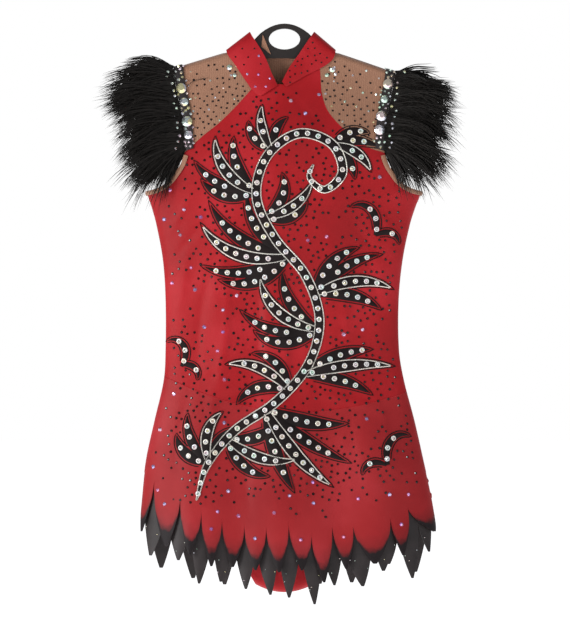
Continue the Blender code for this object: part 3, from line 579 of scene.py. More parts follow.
def draw_in(grid: Array) -> Array:
    """Moves the rim of a grid inwards, so that neighbouring panels stay apart at their seam.

    Args:
        grid: Rows of points.

    Returns:
        The same rows with the rim moved.
    """
    moved = grid.copy()
    for rim, inner in ((0, 1), (-1, -2)):
        moved[rim] += unit(grid[inner] - grid[rim]) * SEAM_HALF_GAP
    for rim, inner in ((0, 1), (-1, -2)):
        moved[:, rim] += unit(grid[:, inner] - grid[:, rim]) * SEAM_HALF_GAP
    return moved


@dataclass(frozen=True)
class Petal:
    """A point of the skirt's hem: the slit on its right, and its tip. Across runs from -1 to 1."""

    slit_across: float
    slit_z: float
    tip_across: float
    tip_z: float


SIDE_SLIT_Z = -512.0
FRONT_TOP_PETALS = (
    Petal(-0.92, -518, -0.985, -577),
    Petal(-0.73, -531, -0.81, -592),
    Petal(-0.58, -550, -0.65, -601),
    Petal(-0.44, -558, -0.505, -614),
    Petal(-0.29, -567, -0.365, -615),
    Petal(-0.145, -568, -0.215, -618),
    Petal(0.005, -563, -0.06, -620),
    Petal(0.155, -576, 0.09, -618),
    Petal(0.295, -566, 0.235, -632),
    Petal(0.435, -566, 0.38, -617),
    Petal(0.69, -557, 0.57, -611),
    Petal(0.82, -549, 0.76, -602),
    Petal(1.0, SIDE_SLIT_Z, 0.985, -577),
)
FRONT_UNDER_PETALS = (
    Petal(-0.83, -540, -0.94, -604),
    Petal(-0.66, -556, -0.745, -608),
    Petal(-0.51, -570, -0.60, -634),
    Petal(-0.365, -578, -0.455, -632),
    Petal(-0.22, -582, -0.285, -640),
    Petal(-0.07, -582, -0.12, -646),
    Petal(0.08, -582, 0.005, -649),
    Petal(0.225, -584, 0.175, -657),
    Petal(0.365, -582, 0.31, -636),
    Petal(0.56, -578, 0.50, -637),
    Petal(0.745, -568, 0.68, -612),
    Petal(0.89, -560, 0.84, -629),
    Petal(1.0, SIDE_SLIT_Z, 0.965, -600),
)


def back_petals(tip_z: float, count: int = 9, slit_z: float = -556.0) -> tuple[Petal, ...]:
    """Even petals for the back of the skirt, a little uneven in length.

    Args:
        tip_z: The height of the tips at the sides.
        count: How many there are.
        slit_z: The height of the slits in the middle.

    Returns:
        The petals, from the left.
    """
    rows = []
    for n in range(1, count + 1):
        across = -1 + 2 * n / count
        middle = across - 1 / count
        slit = slit_z + 9.0 * math.sin(2.3 * n) + 20 * abs(across) ** 2
        tip = tip_z - 10 * (1 - middle**2) + 8.0 * math.sin(1.7 * n)
        rows.append(Petal(across, slit if n < count else SIDE_SLIT_Z, middle * 0.985, tip))
    return tuple(rows)


BACK_TOP_PETALS = back_petals(-604.0)


@dataclass(frozen=True)
class Finish:
    """What a surface is made of, with the numbers that its shader takes."""

    name: str
    slot: str
    colour: Colour
    roughness: float
    metallic: float = 0.0
    specular: float = 0.5
    sheen: float = 0.0
    sheen_roughness: float = 0.5
    sheen_tint: Colour = (1.0, 1.0, 1.0)
    coat: float = 0.0
    coat_roughness: float = 0.1


RED_CLOTH = Finish(
    "red_stretch_cloth",
    "red_cloth",
    (0.50, 0.012, 0.018),
    0.5,
    specular=0.2,
    sheen=0.08,
    sheen_roughness=0.35,
    sheen_tint=(1.0, 0.45, 0.48),
)
NUDE_MESH = Finish("nude_power_mesh", "nude_mesh", (0.44, 0.245, 0.155), 0.62, sheen=0.3)
BLACK_SATIN = Finish(
    "black_satin", "black_cloth", (0.016, 0.012, 0.012), 0.5, specular=0.35, sheen=0.06, sheen_roughness=0.4
)
APPLIQUE = Finish("black_applique", "black_cloth", (0.007, 0.004, 0.004), 0.65, specular=0.16, sheen=0.015)
FEATHER = Finish("black_feather", "feather", (0.013, 0.011, 0.0095), 0.6, specular=0.2, sheen=0.035)
SEQUIN = Finish("white_ring_sequin", "crystal", (0.86, 0.82, 0.74), 0.28, metallic=0.35, coat=0.6)
STONE = Finish("clear_stone", "crystal", (0.88, 0.84, 0.80), 0.12, metallic=0.85)
JET = Finish("jet_stone", "black_cloth", (0.006, 0.005, 0.006), 0.16)
AURORA = Finish("rainbow_crystal", "crystal", (0.70, 0.42, 0.62), 0.1, metallic=0.8)
SILVER = Finish("silver_twist", "silver_cord", (0.82, 0.79, 0.72), 0.3, metallic=0.75)
PLASTIC = Finish("hanger_plastic", "hanger_plastic", (0.018, 0.013, 0.011), 0.36)
PALE_FLOOR = Finish("pale_floor", "", (0.93, 0.93, 0.93), 0.9)

# Tones of the red cloth from patch to patch, and where the dip dye turns it black
RED_TONES = ((0.31, 0.006, 0.009), (0.39, 0.008, 0.012), (0.50, 0.018, 0.027))
HEM_TONES = ((0.30, 0.010, 0.013), (0.36, 0.016, 0.019), (0.43, 0.028, 0.035))
TONE_STOPS = (0.32, 0.5, 0.68)
DYE_STOPS = ((0.28, (0.0, 0.0, 0.0)), (0.56, (0.30, 0.30, 0.30)), (0.70, (1.0, 1.0, 1.0)))
DYE = (0.013, 0.009, 0.010)
# The nude mesh's colour across its gathers, darker in their troughs as painted shade, and the painted shade
# that darkens the net's holes
GATHER_SHADE_STOPS = ((0.0, (0.425, 0.212, 0.122)), (1.0, (0.49, 0.254, 0.15)))
HOLE_SHADE_STOPS = ((0.15, (0.30, 0.155, 0.095)), (0.5, (1.0, 1.0, 1.0)))
SEQUIN_TINTS = ((0.80, 0.80, 0.84), (0.90, 0.86, 0.72), (0.84, 0.72, 0.72), (0.74, 0.86, 0.82))
STONE_TINTS = ((0.86, 0.86, 0.94), (0.62, 0.90, 0.68), (0.94, 0.74, 0.86), (0.96, 0.90, 0.52))
AURORA_TINTS = ((0.80, 0.36, 0.60), (0.62, 0.30, 0.78), (0.90, 0.62, 0.72), (0.50, 0.46, 0.80))


def add_node(tree: Tree, kind: str, inputs: dict | None = None, **settings: object) -> Node:
    """Adds a node.

    Args:
        tree: Where it goes.
        kind: Its type.
        inputs: For each input, a socket to link to it or a value.
        settings: Its properties.

    Returns:
        The node.
    """
    made = tree.nodes.new(kind)
    for key, value in settings.items():
        setattr(made, key, value)
    for key, value in (inputs or {}).items():
        if isinstance(value, Socket):
            tree.links.new(value, made.inputs[key])
        else:
            made.inputs[key].default_value = value
    return made


def knit_group() -> Tree:
    """The fine knit of stretch cloth: a height from 0 to 1 that follows the cloth's UV map.

    Returns:
        The group, which is made once.
    """
    group = bpy.data.node_groups.get("fine_knit")
    if group:
        return group
    group = bpy.data.node_groups.new("fine_knit", "ShaderNodeTree")
    group.interface.new_socket("Place", in_out="INPUT", socket_type="NodeSocketVector")
    group.interface.new_socket("Height", in_out="OUTPUT", socket_type="NodeSocketFloat")
    place = add_node(group, "NodeGroupInput").outputs["Place"]
    waves = []
    for direction, scale in (("X", 420.0), ("Y", 300.0)):
        values = {"Vector": place, "Scale": scale, "Distortion": 0.6}
        waves.append(add_node(group, "ShaderNodeTexWave", values, bands_direction=direction).outputs["Fac"])
    product = add_node(group, "ShaderNodeMath", dict(enumerate(waves)), operation="MULTIPLY")
    add_node(group, "NodeGroupOutput", {"Height": product.outputs[0]})
    return group


@dataclass(frozen=True)
class Dress:
    """What a piece wears: its material, and the name of its slot."""

    material: Material
    slot: str


class Shader:
    """Builds a node material around one Principled shader."""

    def __init__(self, finish: Finish) -> None:
        """Starts the material with the numbers of its finish.

        Args:
            finish: What the surface is made of.
        """
        self.finish = finish
        self.material = bpy.data.materials.new(finish.name)
        self.material.use_nodes = True
        self.tree = self.material.node_tree
        self.surface = self.tree.nodes["Principled BSDF"]
        values = {
            "Base Color": (*finish.colour, 1.0),
            "Roughness": finish.roughness,
            "Metallic": finish.metallic,
            "Specular IOR Level": finish.specular,
            "Sheen Weight": finish.sheen,
            "Sheen Roughness": finish.sheen_roughness,
            "Sheen Tint": (*finish.sheen_tint, 1.0),
            "Coat Weight": finish.coat,
            "Coat Roughness": finish.coat_roughness,
        }
        for socket, value in values.items():
            self.surface.inputs[socket].default_value = value
        self.place = self.node("ShaderNodeTexCoord").outputs["Object"]

    def node(self, kind: str, inputs: dict | None = None, **settings: object) -> Node:
        """Adds a node to the material."""
        return add_node(self.tree, kind, inputs, **settings)

    def noise(self, scale: float, detail: float = 3.0) -> Socket:
        """Soft noise over the piece, at a scale of so many cells a metre."""
        inputs = {"Vector": self.place, "Scale": scale, "Detail": detail}
        return self.node("ShaderNodeTexNoise", inputs).outputs["Fac"]

    def knit(self) -> Socket:
        """The height of the knit on the piece, which follows its UV map."""
        along = self.node("ShaderNodeTexCoord").outputs["UV"]
        return self.node("ShaderNodeGroup", {"Place": along}, node_tree=knit_group()).outputs["Height"]

    def ramp(self, value: Socket, stops: Sequence[tuple[float, Colour]]) -> Socket:
        """Colours along a value.

        Args:
            value: The value.
            stops: Where each colour is reached.

        Returns:
            The colour.
        """
        made = self.node("ShaderNodeValToRGB", {"Fac": value})
        elements = made.color_ramp.elements
        elements[0].position, elements[-1].position = stops[0][0], stops[-1][0]
        elements[0].color, elements[-1].color = (*stops[0][1], 1), (*stops[-1][1], 1)
        for position, colour in stops[1:-1]:
            elements.new(position).color = (*colour, 1)
        return made.outputs["Color"]

    def bump(self, height: Socket, distance: float, strength: float, below: Socket | None = None) -> Socket:
        """A bumped normal.

        Args:
            height: The height.
            distance: How far a height of 1 stands out, in metres.
            strength: How strongly it shows.
            below: A normal that it adds to.

        Returns:
            The normal.
        """
        inputs = {"Height": height, "Distance": distance, "Strength": strength}
        if below is not None:
            inputs["Normal"] = below
        return self.node("ShaderNodeBump", inputs).outputs["Normal"]

    def dress(self, colour: Socket, normal: Socket | None = None) -> Dress:
        """Joins the surface to its colour and its normal.

        Args:
            colour: The colour.
            normal: The normal, if it is bumped.

        Returns:
            What the pieces wear.
        """
        self.tree.links.new(colour, self.surface.inputs["Base Color"])
        if normal is not None:
            self.tree.links.new(normal, self.surface.inputs["Normal"])
        return Dress(self.material, self.finish.slot)


def red_cloth(hem: bool) -> Dress:
    """Red stretch cloth with a soft bloom, and a black dip dye at the hem where there is one.

    Args:
        hem: Whether it has the dye, which follows the attribute of that name.

    Returns:
        The cloth's dress.
    """
    shader = Shader(RED_CLOTH)
    colour = shader.ramp(shader.noise(9.0, 4.0), list(zip(TONE_STOPS, HEM_TONES if hem else RED_TONES)))
    if hem:
        dye = shader.node("ShaderNodeAttribute", attribute_name="dye").outputs["Fac"]
        grain = {"Value": shader.noise(120.0, 4.0), "To Min": -0.10, "To Max": 0.10}
        edge = {0: dye, 1: shader.node("ShaderNodeMapRange", grain).outputs["Result"]}
        share = shader.ramp(shader.node("ShaderNodeMath", edge, operation="ADD").outputs[0], DYE_STOPS)
        both = {"Factor": share, 6: colour, 7: (*DYE, 1.0)}
        colour = shader.node("ShaderNodeMix", both, data_type="RGBA").outputs[2]
    soft = shader.bump(shader.noise(60.0, 3.0), 0.0006, 0.35)
    return shader.dress(colour, shader.bump(shader.knit(), 0.00012, 0.5, soft))


def black_cloth(finish: Finish) -> Dress:
    """Black cloth with a grey bloom and a fine grain.

    Args:
        finish: Satin or applique.

    Returns:
        The cloth's dress.
    """
    shader = Shader(finish)
    light = tuple(min(c * 2.1 + 0.003, 1.0) for c in finish.colour)
    colour = shader.ramp(shader.noise(40.0, 4.0), ((0.3, finish.colour), (0.75, light)))
    return shader.dress(colour, shader.bump(shader.noise(900.0, 2.0), 0.0002, 0.5))


def nude_mesh() -> Dress:
    """Nude power mesh: a fine net with painted shade in its holes, and faint upright gathers with painted
    shade in their troughs.

    Returns:
        The mesh's dress.
    """
    shader = Shader(NUDE_MESH)
    net = shader.knit()
    wave = {"Vector": shader.place, "Scale": 128.0, "Distortion": 3.0, "Detail": 2.0}
    gathers = shader.node("ShaderNodeTexWave", wave, bands_direction="X").outputs["Fac"]
    # Painted shade: the colour darkens in the gathers' troughs and in the net's holes
    both = {"Factor": 0.55, 6: shader.ramp(gathers, GATHER_SHADE_STOPS), 7: shader.ramp(net, HOLE_SHADE_STOPS)}
    colour = shader.node("ShaderNodeMix", both, data_type="RGBA", blend_type="MULTIPLY").outputs[2]
    return shader.dress(colour, shader.bump(gathers, 0.0002, 0.4, shader.bump(net, 0.0002, 0.6)))


def plain(finish: Finish, scale: float, depth: float, spread: float = 0.15) -> Dress:
    """A finish with a little variation of colour and a fine grain.

    Args:
        finish: What it is made of.
        scale: The grain's cells a metre.
        depth: Its depth, in metres.
        spread: How far the colour strays to each side.

    Returns:
        The dress.
    """
    shader = Shader(finish)
    low = tuple(c * (1 - spread) for c in finish.colour)
    high = tuple(min(c * (1 + spread), 1.0) for c in finish.colour)
    colour = shader.ramp(shader.noise(scale / 4), ((0.3, low), (0.7, high)))
    return shader.dress(colour, shader.bump(shader.noise(scale), depth, 0.4))


def glitter(finish: Finish, tints: Sequence[Colour], cells: float) -> Dress:
    """Stones whose tint changes from one to the next.

    Args:
        finish: What they are made of.
        tints: The tints.
        cells: How many cells of one tint lie in a metre.

    Returns:
        The stones' dress.
    """
    shader = Shader(finish)
    cell = shader.node("ShaderNodeTexVoronoi", {"Vector": shader.place, "Scale": cells}).outputs["Color"]
    split = shader.node("ShaderNodeSeparateColor", {"Color": cell})
    stops = [(0.1 + 0.8 * n / (len(tints) - 1), tint) for n, tint in enumerate(tints)]
    return shader.dress(shader.ramp(split.outputs["Red"], stops))


class Wardrobe:
    """The finished materials, each made once."""

    def __init__(self) -> None:
        """Makes them all."""
        self.red = red_cloth(hem=False)
        self.red_hem = red_cloth(hem=True)
        self.mesh = nude_mesh()
        self.black = black_cloth(BLACK_SATIN)
        self.applique = black_cloth(APPLIQUE)
        self.feather = plain(FEATHER, 700.0, 0.0002, 0.4)
        self.plastic = plain(PLASTIC, 1500.0, 0.00005)
        self.silver = plain(SILVER, 1200.0, 0.0002, 0.2)
        self.jet = plain(JET, 400.0, 0.0001, 0.3)
        self.sequin = glitter(SEQUIN, SEQUIN_TINTS, 110.0)
        self.stone = glitter(STONE, STONE_TINTS, 90.0)
        self.aurora = glitter(AURORA, AURORA_TINTS, 60.0)


@dataclass(frozen=True)
class Flat:
    """The width and length that a piece of cloth is cut to, how it is held, and what it rests on."""

    width: float
    length: float
    held: str = "hung"
    rests_on: tuple[str, ...] = ("hanger",)


def flipped_to(bm: Mesh, side: Side) -> None:
    """Turns an open sheet so that its faces look out of the garment.

    Args:
        bm: The sheet.
        side: Front or back.
    """
    bmesh.ops.recalc_face_normals(bm, faces=bm.faces)
    if sum(face.normal.y * face.calc_area() for face in bm.faces) * side.value < 0:
        bmesh.ops.reverse_faces(bm, faces=bm.faces)
    bm.normal_update()


def second_skin(bm: Mesh) -> list[bmesh.types.BMVert]:
    """Closes an open sheet with a second one in the same place, and gives back the second one's corners."""
    made = bmesh.ops.extrude_face_region(bm, geom=bm.faces[:])["geom"]
    return [item for item in made if isinstance(item, bmesh.types.BMVert)]


def thicken(bm: Mesh, level_within: float = LEVEL_WITHIN) -> None:
    """Turns an open sheet into a closed wall that grows inwards.

    Args:
        bm: The sheet.
        level_within: Points nearer than this to the middle plane move level.
    """
    layer = bm.verts.layers.float_vector.new("outward")
    bm.normal_update()
    for vert in bm.verts:
        level = 0.0 if abs(vert.co.y) < level_within else vert.normal.y
        vert[layer] = Vector((vert.normal.x, level, vert.normal.z)).normalized()
    for vert in second_skin(bm):
        vert.co -= vert[layer] * WALL
    bm.verts.layers.float_vector.remove(bm.verts.layers.float_vector["outward"])


def grid_cells(bm: Mesh, points: Array) -> dict[bmesh.types.BMVert, tuple[int, int]]:
    """Adds a flat grid with a corner for each point of an array.

    Args:
        bm: Where it goes.
        points: The array.

    Returns:
        The row and column of each corner.
    """
    rows, across = points.shape[0] - 1, points.shape[1] - 1
    made = bmesh.ops.create_grid(bm, x_segments=across, y_segments=rows, size=1.0)["verts"]
    return {v: (round((v.co.y + 1) / 2 * rows), round((v.co.x + 1) / 2 * across)) for v in made}


def lay_grid(bm: Mesh, points: Array, uv: Array, **values: Array) -> None:
    """Adds a sheet.

    Args:
        bm: Where it goes.
        points: The grid of its corners.
        uv: Their places on the flat cloth.
        values: Named values that the corners keep.
    """
    kept = bm.verts.layers.float
    layers = {name: kept.get(name) or kept.new(name) for name in values}
    uv_layer = bm.loops.layers.uv.verify()
    cells = grid_cells(bm, points)
    for vert, cell in cells.items():
        vert.co = points[cell]
        for name, layer in layers.items():
            vert[layer] = float(values[name][cell])
    for face in {face for vert in cells for face in vert.link_faces}:
        for loop in face.loops:
            loop[uv_layer].uv = uv[cells[loop.vert]] * MM


def between_grids(outer: Array, inner: Array) -> Mesh:
    """A closed wall between two grids of points.

    Args:
        outer: The outer face's corners.
        inner: The inner face's, as many.

    Returns:
        The wall.
    """
    bm = bmesh.new()
    layer = bm.verts.layers.float_vector.new("inside")
    uv_layer = bm.loops.layers.uv.verify()
    for vert, cell in grid_cells(bm, outer).items():
        vert.co, vert[layer] = outer[cell], inner[cell]
    for face in bm.faces:
        for loop in face.loops:
            loop[uv_layer].uv = (loop.vert.co.x * MM, (loop.vert.co.z + loop.vert.co.y) * MM)
    for vert in second_skin(bm):
        vert.co = vert[layer]
    bm.verts.layers.float_vector.remove(bm.verts.layers.float_vector["inside"])
    return bm


def joined(bm: Mesh, part: Mesh) -> None:
    """Adds a part to a mesh and frees it."""
    mesh = bpy.data.meshes.new("part")
    part.to_mesh(mesh)
    part.free()
    bm.from_mesh(mesh)
    bpy.data.meshes.remove(mesh)


def placed(name: str, mesh: bpy.types.Mesh, dress: Dress, *nodes: str) -> Piece:
    """Puts a finished mesh into the scene as a piece of the garment.

    Args:
        name: The piece's name.
        mesh: Its mesh, in metres.
        dress: What it wears.
        nodes: The CAD nodes that it replaces.

    Returns:
        The piece, which rides on the one body.
    """
    mesh.materials.append(dress.material)
    obj = bpy.data.objects.new(name, mesh)
    bpy.context.scene.collection.objects.link(obj)
    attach(obj, "root")
    if nodes:
        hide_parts(*nodes)
    return obj


def sewn(bm: Mesh, name: str, dress: Dress, *nodes: str) -> Piece:
    """Makes a piece from a closed mesh in millimetres.

    Args:
        bm: The mesh, which is freed.
        name: The piece's name, without its first word.
        dress: What it wears.
        nodes: The CAD nodes that it replaces.

    Returns:
        The piece.
    """
    bmesh.ops.recalc_face_normals(bm, faces=bm.faces)
    if bm.calc_volume(signed=True) < 0:
        bmesh.ops.reverse_faces(bm, faces=bm.faces)
    bmesh.ops.scale(bm, vec=(MM, MM, MM), verts=bm.verts)
    mesh = bpy.data.meshes.new("sewn_" + name)
    bm.to_mesh(mesh)
    bm.free()
    mesh.shade_smooth()
    mesh.set_sharp_from_angle(angle=math.radians(SHARP_ANGLE))
    return placed("sewn_" + name, mesh, dress, *nodes)


def outer_area(points: Array) -> float:
    """The area of a grid of points, in square metres."""
    a, b, c, d = points[:-1, :-1], points[:-1, 1:], points[1:, 1:], points[1:, :-1]
    first, second = np.cross(b - a, c - a), np.cross(c - a, d - a)
    return float((np.linalg.norm(first, axis=-1) + np.linalg.norm(second, axis=-1)).sum()) / 2 * MM * MM


def declared(obj: Piece) -> Piece:
    """Gives back a piece as it is.

    Args:
        obj: The piece.

    Returns:
        The piece.
    """
    return obj


def cloth_piece(bm: Mesh, name: str, dress: Dress) -> Piece:
    """Makes a piece of cloth in place of the CAD node of its name."""
    return declared(sewn(bm, name, dress, name))


def panel(name: str, points: Array, uv: Array, side: Side, dress: Dress) -> Piece:
    """Makes a panel of cloth.

    Args:
        name: Its name.
        points: The grid of its outer face.
        uv: The same grid on the flat cloth.
        side: Front or back.
        dress: What it wears.

    Returns:
        The panel.
    """
    bm = bmesh.new()
    lay_grid(bm, points, uv)
    flipped_to(bm, side)
    thicken(bm)
    return cloth_piece(bm, name, dress)


def tubes_into(bm: Mesh, path: Array, radius: Array, sides: int) -> None:
    """Adds many thin tubes that end in points: one grid, wound round each course.

    Args:
        bm: Where they go.
        path: The points of each tube's course.
        radius: The radius at each of those points.
        sides: How many sides a tube has.
    """
    count, rings = path.shape[:2]
    radius = radius * ((np.arange(rings) > 0) & (np.arange(rings) < rings - 1))
    ahead = unit(np.concatenate([path[:, 1:] - path[:, :-1], path[:, -1:] - path[:, -2:-1]], axis=1))
    first = unit(np.cross(ahead, np.array([0.12, 0.31, 0.94])))
    second = np.cross(ahead, first)
    turn = (2 * math.pi * np.arange(sides + 1) / sides)[None, None, :, None]
    ring = first[:, :, None] * np.cos(turn) + second[:, :, None] * np.sin(turn)
    points = path[:, :, None] + ring * radius[:, :, None, None]
    strip = bmesh.new()
    last = count * (sides + 1) - 1
    bmesh.ops.create_grid(strip, x_segments=last, y_segments=rings - 1, size=1.0)
    mesh = bpy.data.meshes.new("strip")
    strip.to_mesh(mesh)
    strip.free()
    flat = np.empty(len(mesh.vertices) * 3)
    mesh.vertices.foreach_get("co", flat)
    flat = flat.reshape(-1, 3)
    column = np.rint((flat[:, 0] + 1) / 2 * last).astype(int)
    row = np.rint((flat[:, 1] + 1) / 2 * (rings - 1)).astype(int)
    tube, corner = column // (sides + 1), column % (sides + 1)
    mesh.vertices.foreach_set("co", points[tube, row, corner].ravel())
    part = bmesh.new()
    part.from_mesh(mesh)
    bpy.data.meshes.remove(mesh)
    bridges = [f for f in part.faces if len({int(tube[v.index]) for v in f.verts}) > 1]
    bmesh.ops.delete(part, geom=bridges, context="FACES_ONLY")
    bmesh.ops.remove_doubles(part, verts=part.verts, dist=1e-5)
    joined(bm, part)


def cord_into(bm: Mesh, line: Array, radius: float, sides: int) -> None:
    """Adds one tube of even radius along a line of points."""
    tubes_into(bm, line[None], np.full((1, len(line)), radius), sides)


@dataclass
class Cloth:
    """The cut pieces of cloth: front, back and the mesh yokes."""

    wardrobe: Wardrobe
    yoke_columns: int = 9 * CUT
    yoke_rows: int = 14 * CUT
    neck_columns: int = 9 * CUT
    shoulder_columns: int = 3 * CUT
    back_columns: int = 15 * CUT
    back_yoke_rows: int = 12 * CUT
    underarm_columns: int = 6 * CUT
    petal_columns: int = 3 * CUT
    front_rows: int = 96
    back_rows: int = 80

    def skirt_seam(self, petals: Sequence[Petal], side: Side) -> Edge:
        """The skirt seam.

        Args:
            petals: The petals below it, which give its columns.
            side: Front or back.

        Returns:
            The seam from left to right, with as many points as the panel above has.
        """
        slits = [-1.0] + [petal.slit_across for petal in petals]
        places = even(self.petal_columns)[1:]
        across = np.concatenate([[-1.0]] + [sweep(a, b, places) for a, b in zip(slits, slits[1:])])
        z = seam_z(across, side)
        return np.stack([FIGURE.at_across(across, z), z], axis=-1)

    def yoke_seam(self, hand: Hand) -> Edge:
        """The seam between a front yoke and the red front."""
        return sampled(YOKE_SEAM[hand], close_at_start(self.yoke_columns, YOKE_SEAM_POWER[hand]))

    def bodice(self, side: Side, top: Edge, petals: Sequence[Petal], rows: int) -> Array:
        """The net of the front or the back.

        Args:
            side: Front or back.
            top: Its top edge between the yoke seam's ends.
            petals: The petals below it.
            rows: How many rows it has.

        Returns:
            Rows of points, each an x and z.
        """
        arms = {hand: underarm_edge(hand, close_at_end(self.underarm_columns)) for hand in Hand}
        top = np.concatenate([arms[Hand.LEFT][:0:-1], top, arms[Hand.RIGHT][1:]])
        sides = []
        for hand in Hand:
            z = np.linspace(UNDERARM_Z, float(seam_z(hand.value, side)), rows + 1)
            sides.append(np.stack([FIGURE.side_x(hand, z), z], axis=-1))
        return coons(top, self.skirt_seam(petals, side), *sides)

    def lay(self, name: str, net: Array, side: Side, dress: Dress) -> Piece:
        """Lays a net on the figure as a panel.

        Args:
            name: The panel's name.
            net: Rows of points, each an x and z.
            side: Front or back.
            dress: What it wears.

        Returns:
            The panel.
        """
        x, z = net[..., 0], net[..., 1]
        uv = np.stack([x, -FIGURE.drop(x, z)], axis=-1)
        return panel(name, draw_in(FIGURE.point(x, z, side)), uv, side, dress)

    def front_yoke(self, hand: Hand) -> Piece:
        """One mesh yoke, from the shoulder line to the chest seam.

        Args:
            hand: Left or right.

        Returns:
            The yoke.
        """
        rows = close_at_start(self.yoke_rows)
        outer, inner = sampled(handed(ARMHOLE, hand), rows), sampled(NECK_EDGE[hand], rows)
        top, bottom = shoulder_line(outer[0, 0], inner[0, 0], self.yoke_columns), self.yoke_seam(hand)
        edges = (top, bottom, outer, inner)
        if hand is Hand.RIGHT:
            edges = (top[::-1], bottom[::-1], inner, outer)
        return self.lay("yoke_front_" + hand.word, coons(*edges), Side.FRONT, self.wardrobe.mesh)

    def back_yoke(self) -> Piece:
        """The mesh yoke across the back.

        Returns:
            The yoke.
        """
        rows = close_at_start(self.back_yoke_rows)
        neck = (1 - np.cos(math.pi * even(self.neck_columns))) / 2
        top = (
            shoulder_line(-ARM_X, BACK_NECKLINE[0][0], self.shoulder_columns),
            sampled(BACK_NECKLINE, neck)[1:],
            shoulder_line(BACK_NECKLINE[-1][0], ARM_X, self.shoulder_columns)[1:],
        )
        edges = [sampled(handed(ARMHOLE, hand), rows) for hand in Hand]
        net = coons(np.concatenate(top), sampled(BACK_YOKE_SEAM, even(self.back_columns)), *edges)
        return self.lay("yoke_back", net, Side.BACK, self.wardrobe.mesh)

    def build(self) -> list[Piece]:
        """Builds the front, the back and the yokes.

        Returns:
            The pieces.
        """
        left, right = (self.yoke_seam(hand) for hand in Hand)
        neckline = sampled(FRONT_NECKLINE, even(self.neck_columns))
        top = np.concatenate([left, neckline[1:], right[-2::-1]])
        front = self.bodice(Side.FRONT, top, FRONT_TOP_PETALS, self.front_rows)
        made = [self.lay("bodice_front", front, Side.FRONT, self.wardrobe.red)]
        back_top = sampled(BACK_YOKE_SEAM, even(self.back_columns))
        back = self.bodice(Side.BACK, back_top, BACK_TOP_PETALS, self.back_rows)
        made.append(self.lay("bodice_back", back, Side.BACK, self.wardrobe.red))
        made += [self.front_yoke(hand) for hand in Hand]
        return made + [self.back_yoke()]


@dataclass(frozen=True)
class Layer:
    """A layer of the skirt on one side: its petals, and how far inside the surface its top and tips lie.

    A layer with an overlap starts that far above its slits, and one with none starts at the skirt seam.
    """

    name: str
    side: Side
    petals: tuple[Petal, ...]
    steps: tuple[float, float] = (0.0, 0.0)
    rows: int = 26
    overlap: float = 0.0

    def top(self, across: Array, slit: Array) -> Array:
        """The height where the layer starts, at shares of its width above its slits."""
        return slit + self.overlap if self.overlap else seam_z(across, self.side) - SEAM_HALF_GAP

    def pairs(self) -> Iterable[tuple[Petal, Petal]]:
        """Each petal, after the one on its left."""
        return zip((Petal(-1.0, SIDE_SLIT_Z, -1.0, SIDE_SLIT_Z), *self.petals), self.petals)


UNDER = {"steps": (WALL + 1.9, WALL + 3.4), "rows": 4, "overlap": 20.0}
LAYERS = (
    Layer("skirt_front", Side.FRONT, FRONT_TOP_PETALS),
    Layer("skirt_points_front", Side.FRONT, FRONT_UNDER_PETALS, **UNDER),
    Layer("skirt_back", Side.BACK, BACK_TOP_PETALS),
    Layer("skirt_points_back", Side.BACK, back_petals(-628.0), **UNDER),
)


@dataclass
class Skirt:
    """The two layers of the skirt, red over black, with their petal tips."""

    wardrobe: Wardrobe
    flare: float = 5.0
    curl: float = 2.0
    tip_share: float = 0.1
    convexity: float = 2.0
    columns: int = 9
    rows_below: int = 16
    shortest_dye: float = 20.0
    dye_middle: float = 0.56
    dye_rise: float = 0.26

    def petal_grid(self, layer: Layer, pair: tuple[Petal, Petal], c: Array, s: Array) -> Array:
        """Points of a petal.

        Args:
            layer: The layer that it belongs to.
            pair: The petal on its left, and itself.
            c: Shares of the way across it.
            s: Shares of the way from its slits to its tip.

        Returns:
            The points, as rows of X, Y, Z.
        """
        before, petal = pair
        across = sweep(before.slit_across, petal.slit_across, c)
        middle = (before.slit_across + petal.slit_across) / 2
        width = 1 - s**self.convexity * (1 - self.tip_share)
        here = mix(middle, petal.tip_across, s**1.2) + (across - middle) * width
        z = mix(mix(before.slit_z, petal.slit_z, c), petal.tip_z, s)
        point = FIGURE.skirt_point(here, z, layer.side, mix(*layer.steps, s))
        bow = self.curl * s * width * (1 - (2 * c - 1) ** 2)
        point[..., 1] += layer.side.value * (self.flare * s**2 + bow)
        return point

    def cut(self, layer: Layer) -> Piece:
        """Makes a layer: one sheet down to the slits, and petals below them.

        Args:
            layer: The layer.

        Returns:
            The piece.
        """
        bm, area = bmesh.new(), 0.0
        c, s = even(self.columns)[None, :], even(self.rows_below)[:, None]
        v = even(layer.rows)[:-1, None]
        for before, petal in layer.pairs():
            across = sweep(before.slit_across, petal.slit_across, c)
            slit = mix(before.slit_z, petal.slit_z, c)
            z = mix(layer.top(across, slit), slit, v)
            upper = FIGURE.skirt_point(np.broadcast_to(across, z.shape), z, layer.side, layer.steps[0])
            lower = self.petal_grid(layer, (before, petal), np.broadcast_to(c, (len(s), c.size)), s)
            grid = np.concatenate([upper, lower])
            depth = np.linspace(before.slit_z, petal.slit_z, c.size)[None, :]
            tip_run = np.maximum(depth - petal.tip_z, self.shortest_dye)
            dye = np.clip((depth - grid[..., 2]) / tip_run, -1, 1)
            round_edge = self.dye_middle - self.dye_rise * np.abs(2 * c - 1) ** 5.0
            lay_grid(bm, grid, grid[..., (0, 2)], dye=dye - round_edge + 0.5)
            area += outer_area(grid)
        bmesh.ops.remove_doubles(bm, verts=bm.verts, dist=0.01)
        flipped_to(bm, layer.side)
        thicken(bm)
        dress = self.wardrobe.black if layer.overlap else self.wardrobe.red_hem
        return cloth_piece(bm, layer.name, dress)

    def build(self) -> list[Piece]:
        """Builds both layers, front and back."""
        return [self.cut(layer) for layer in LAYERS]


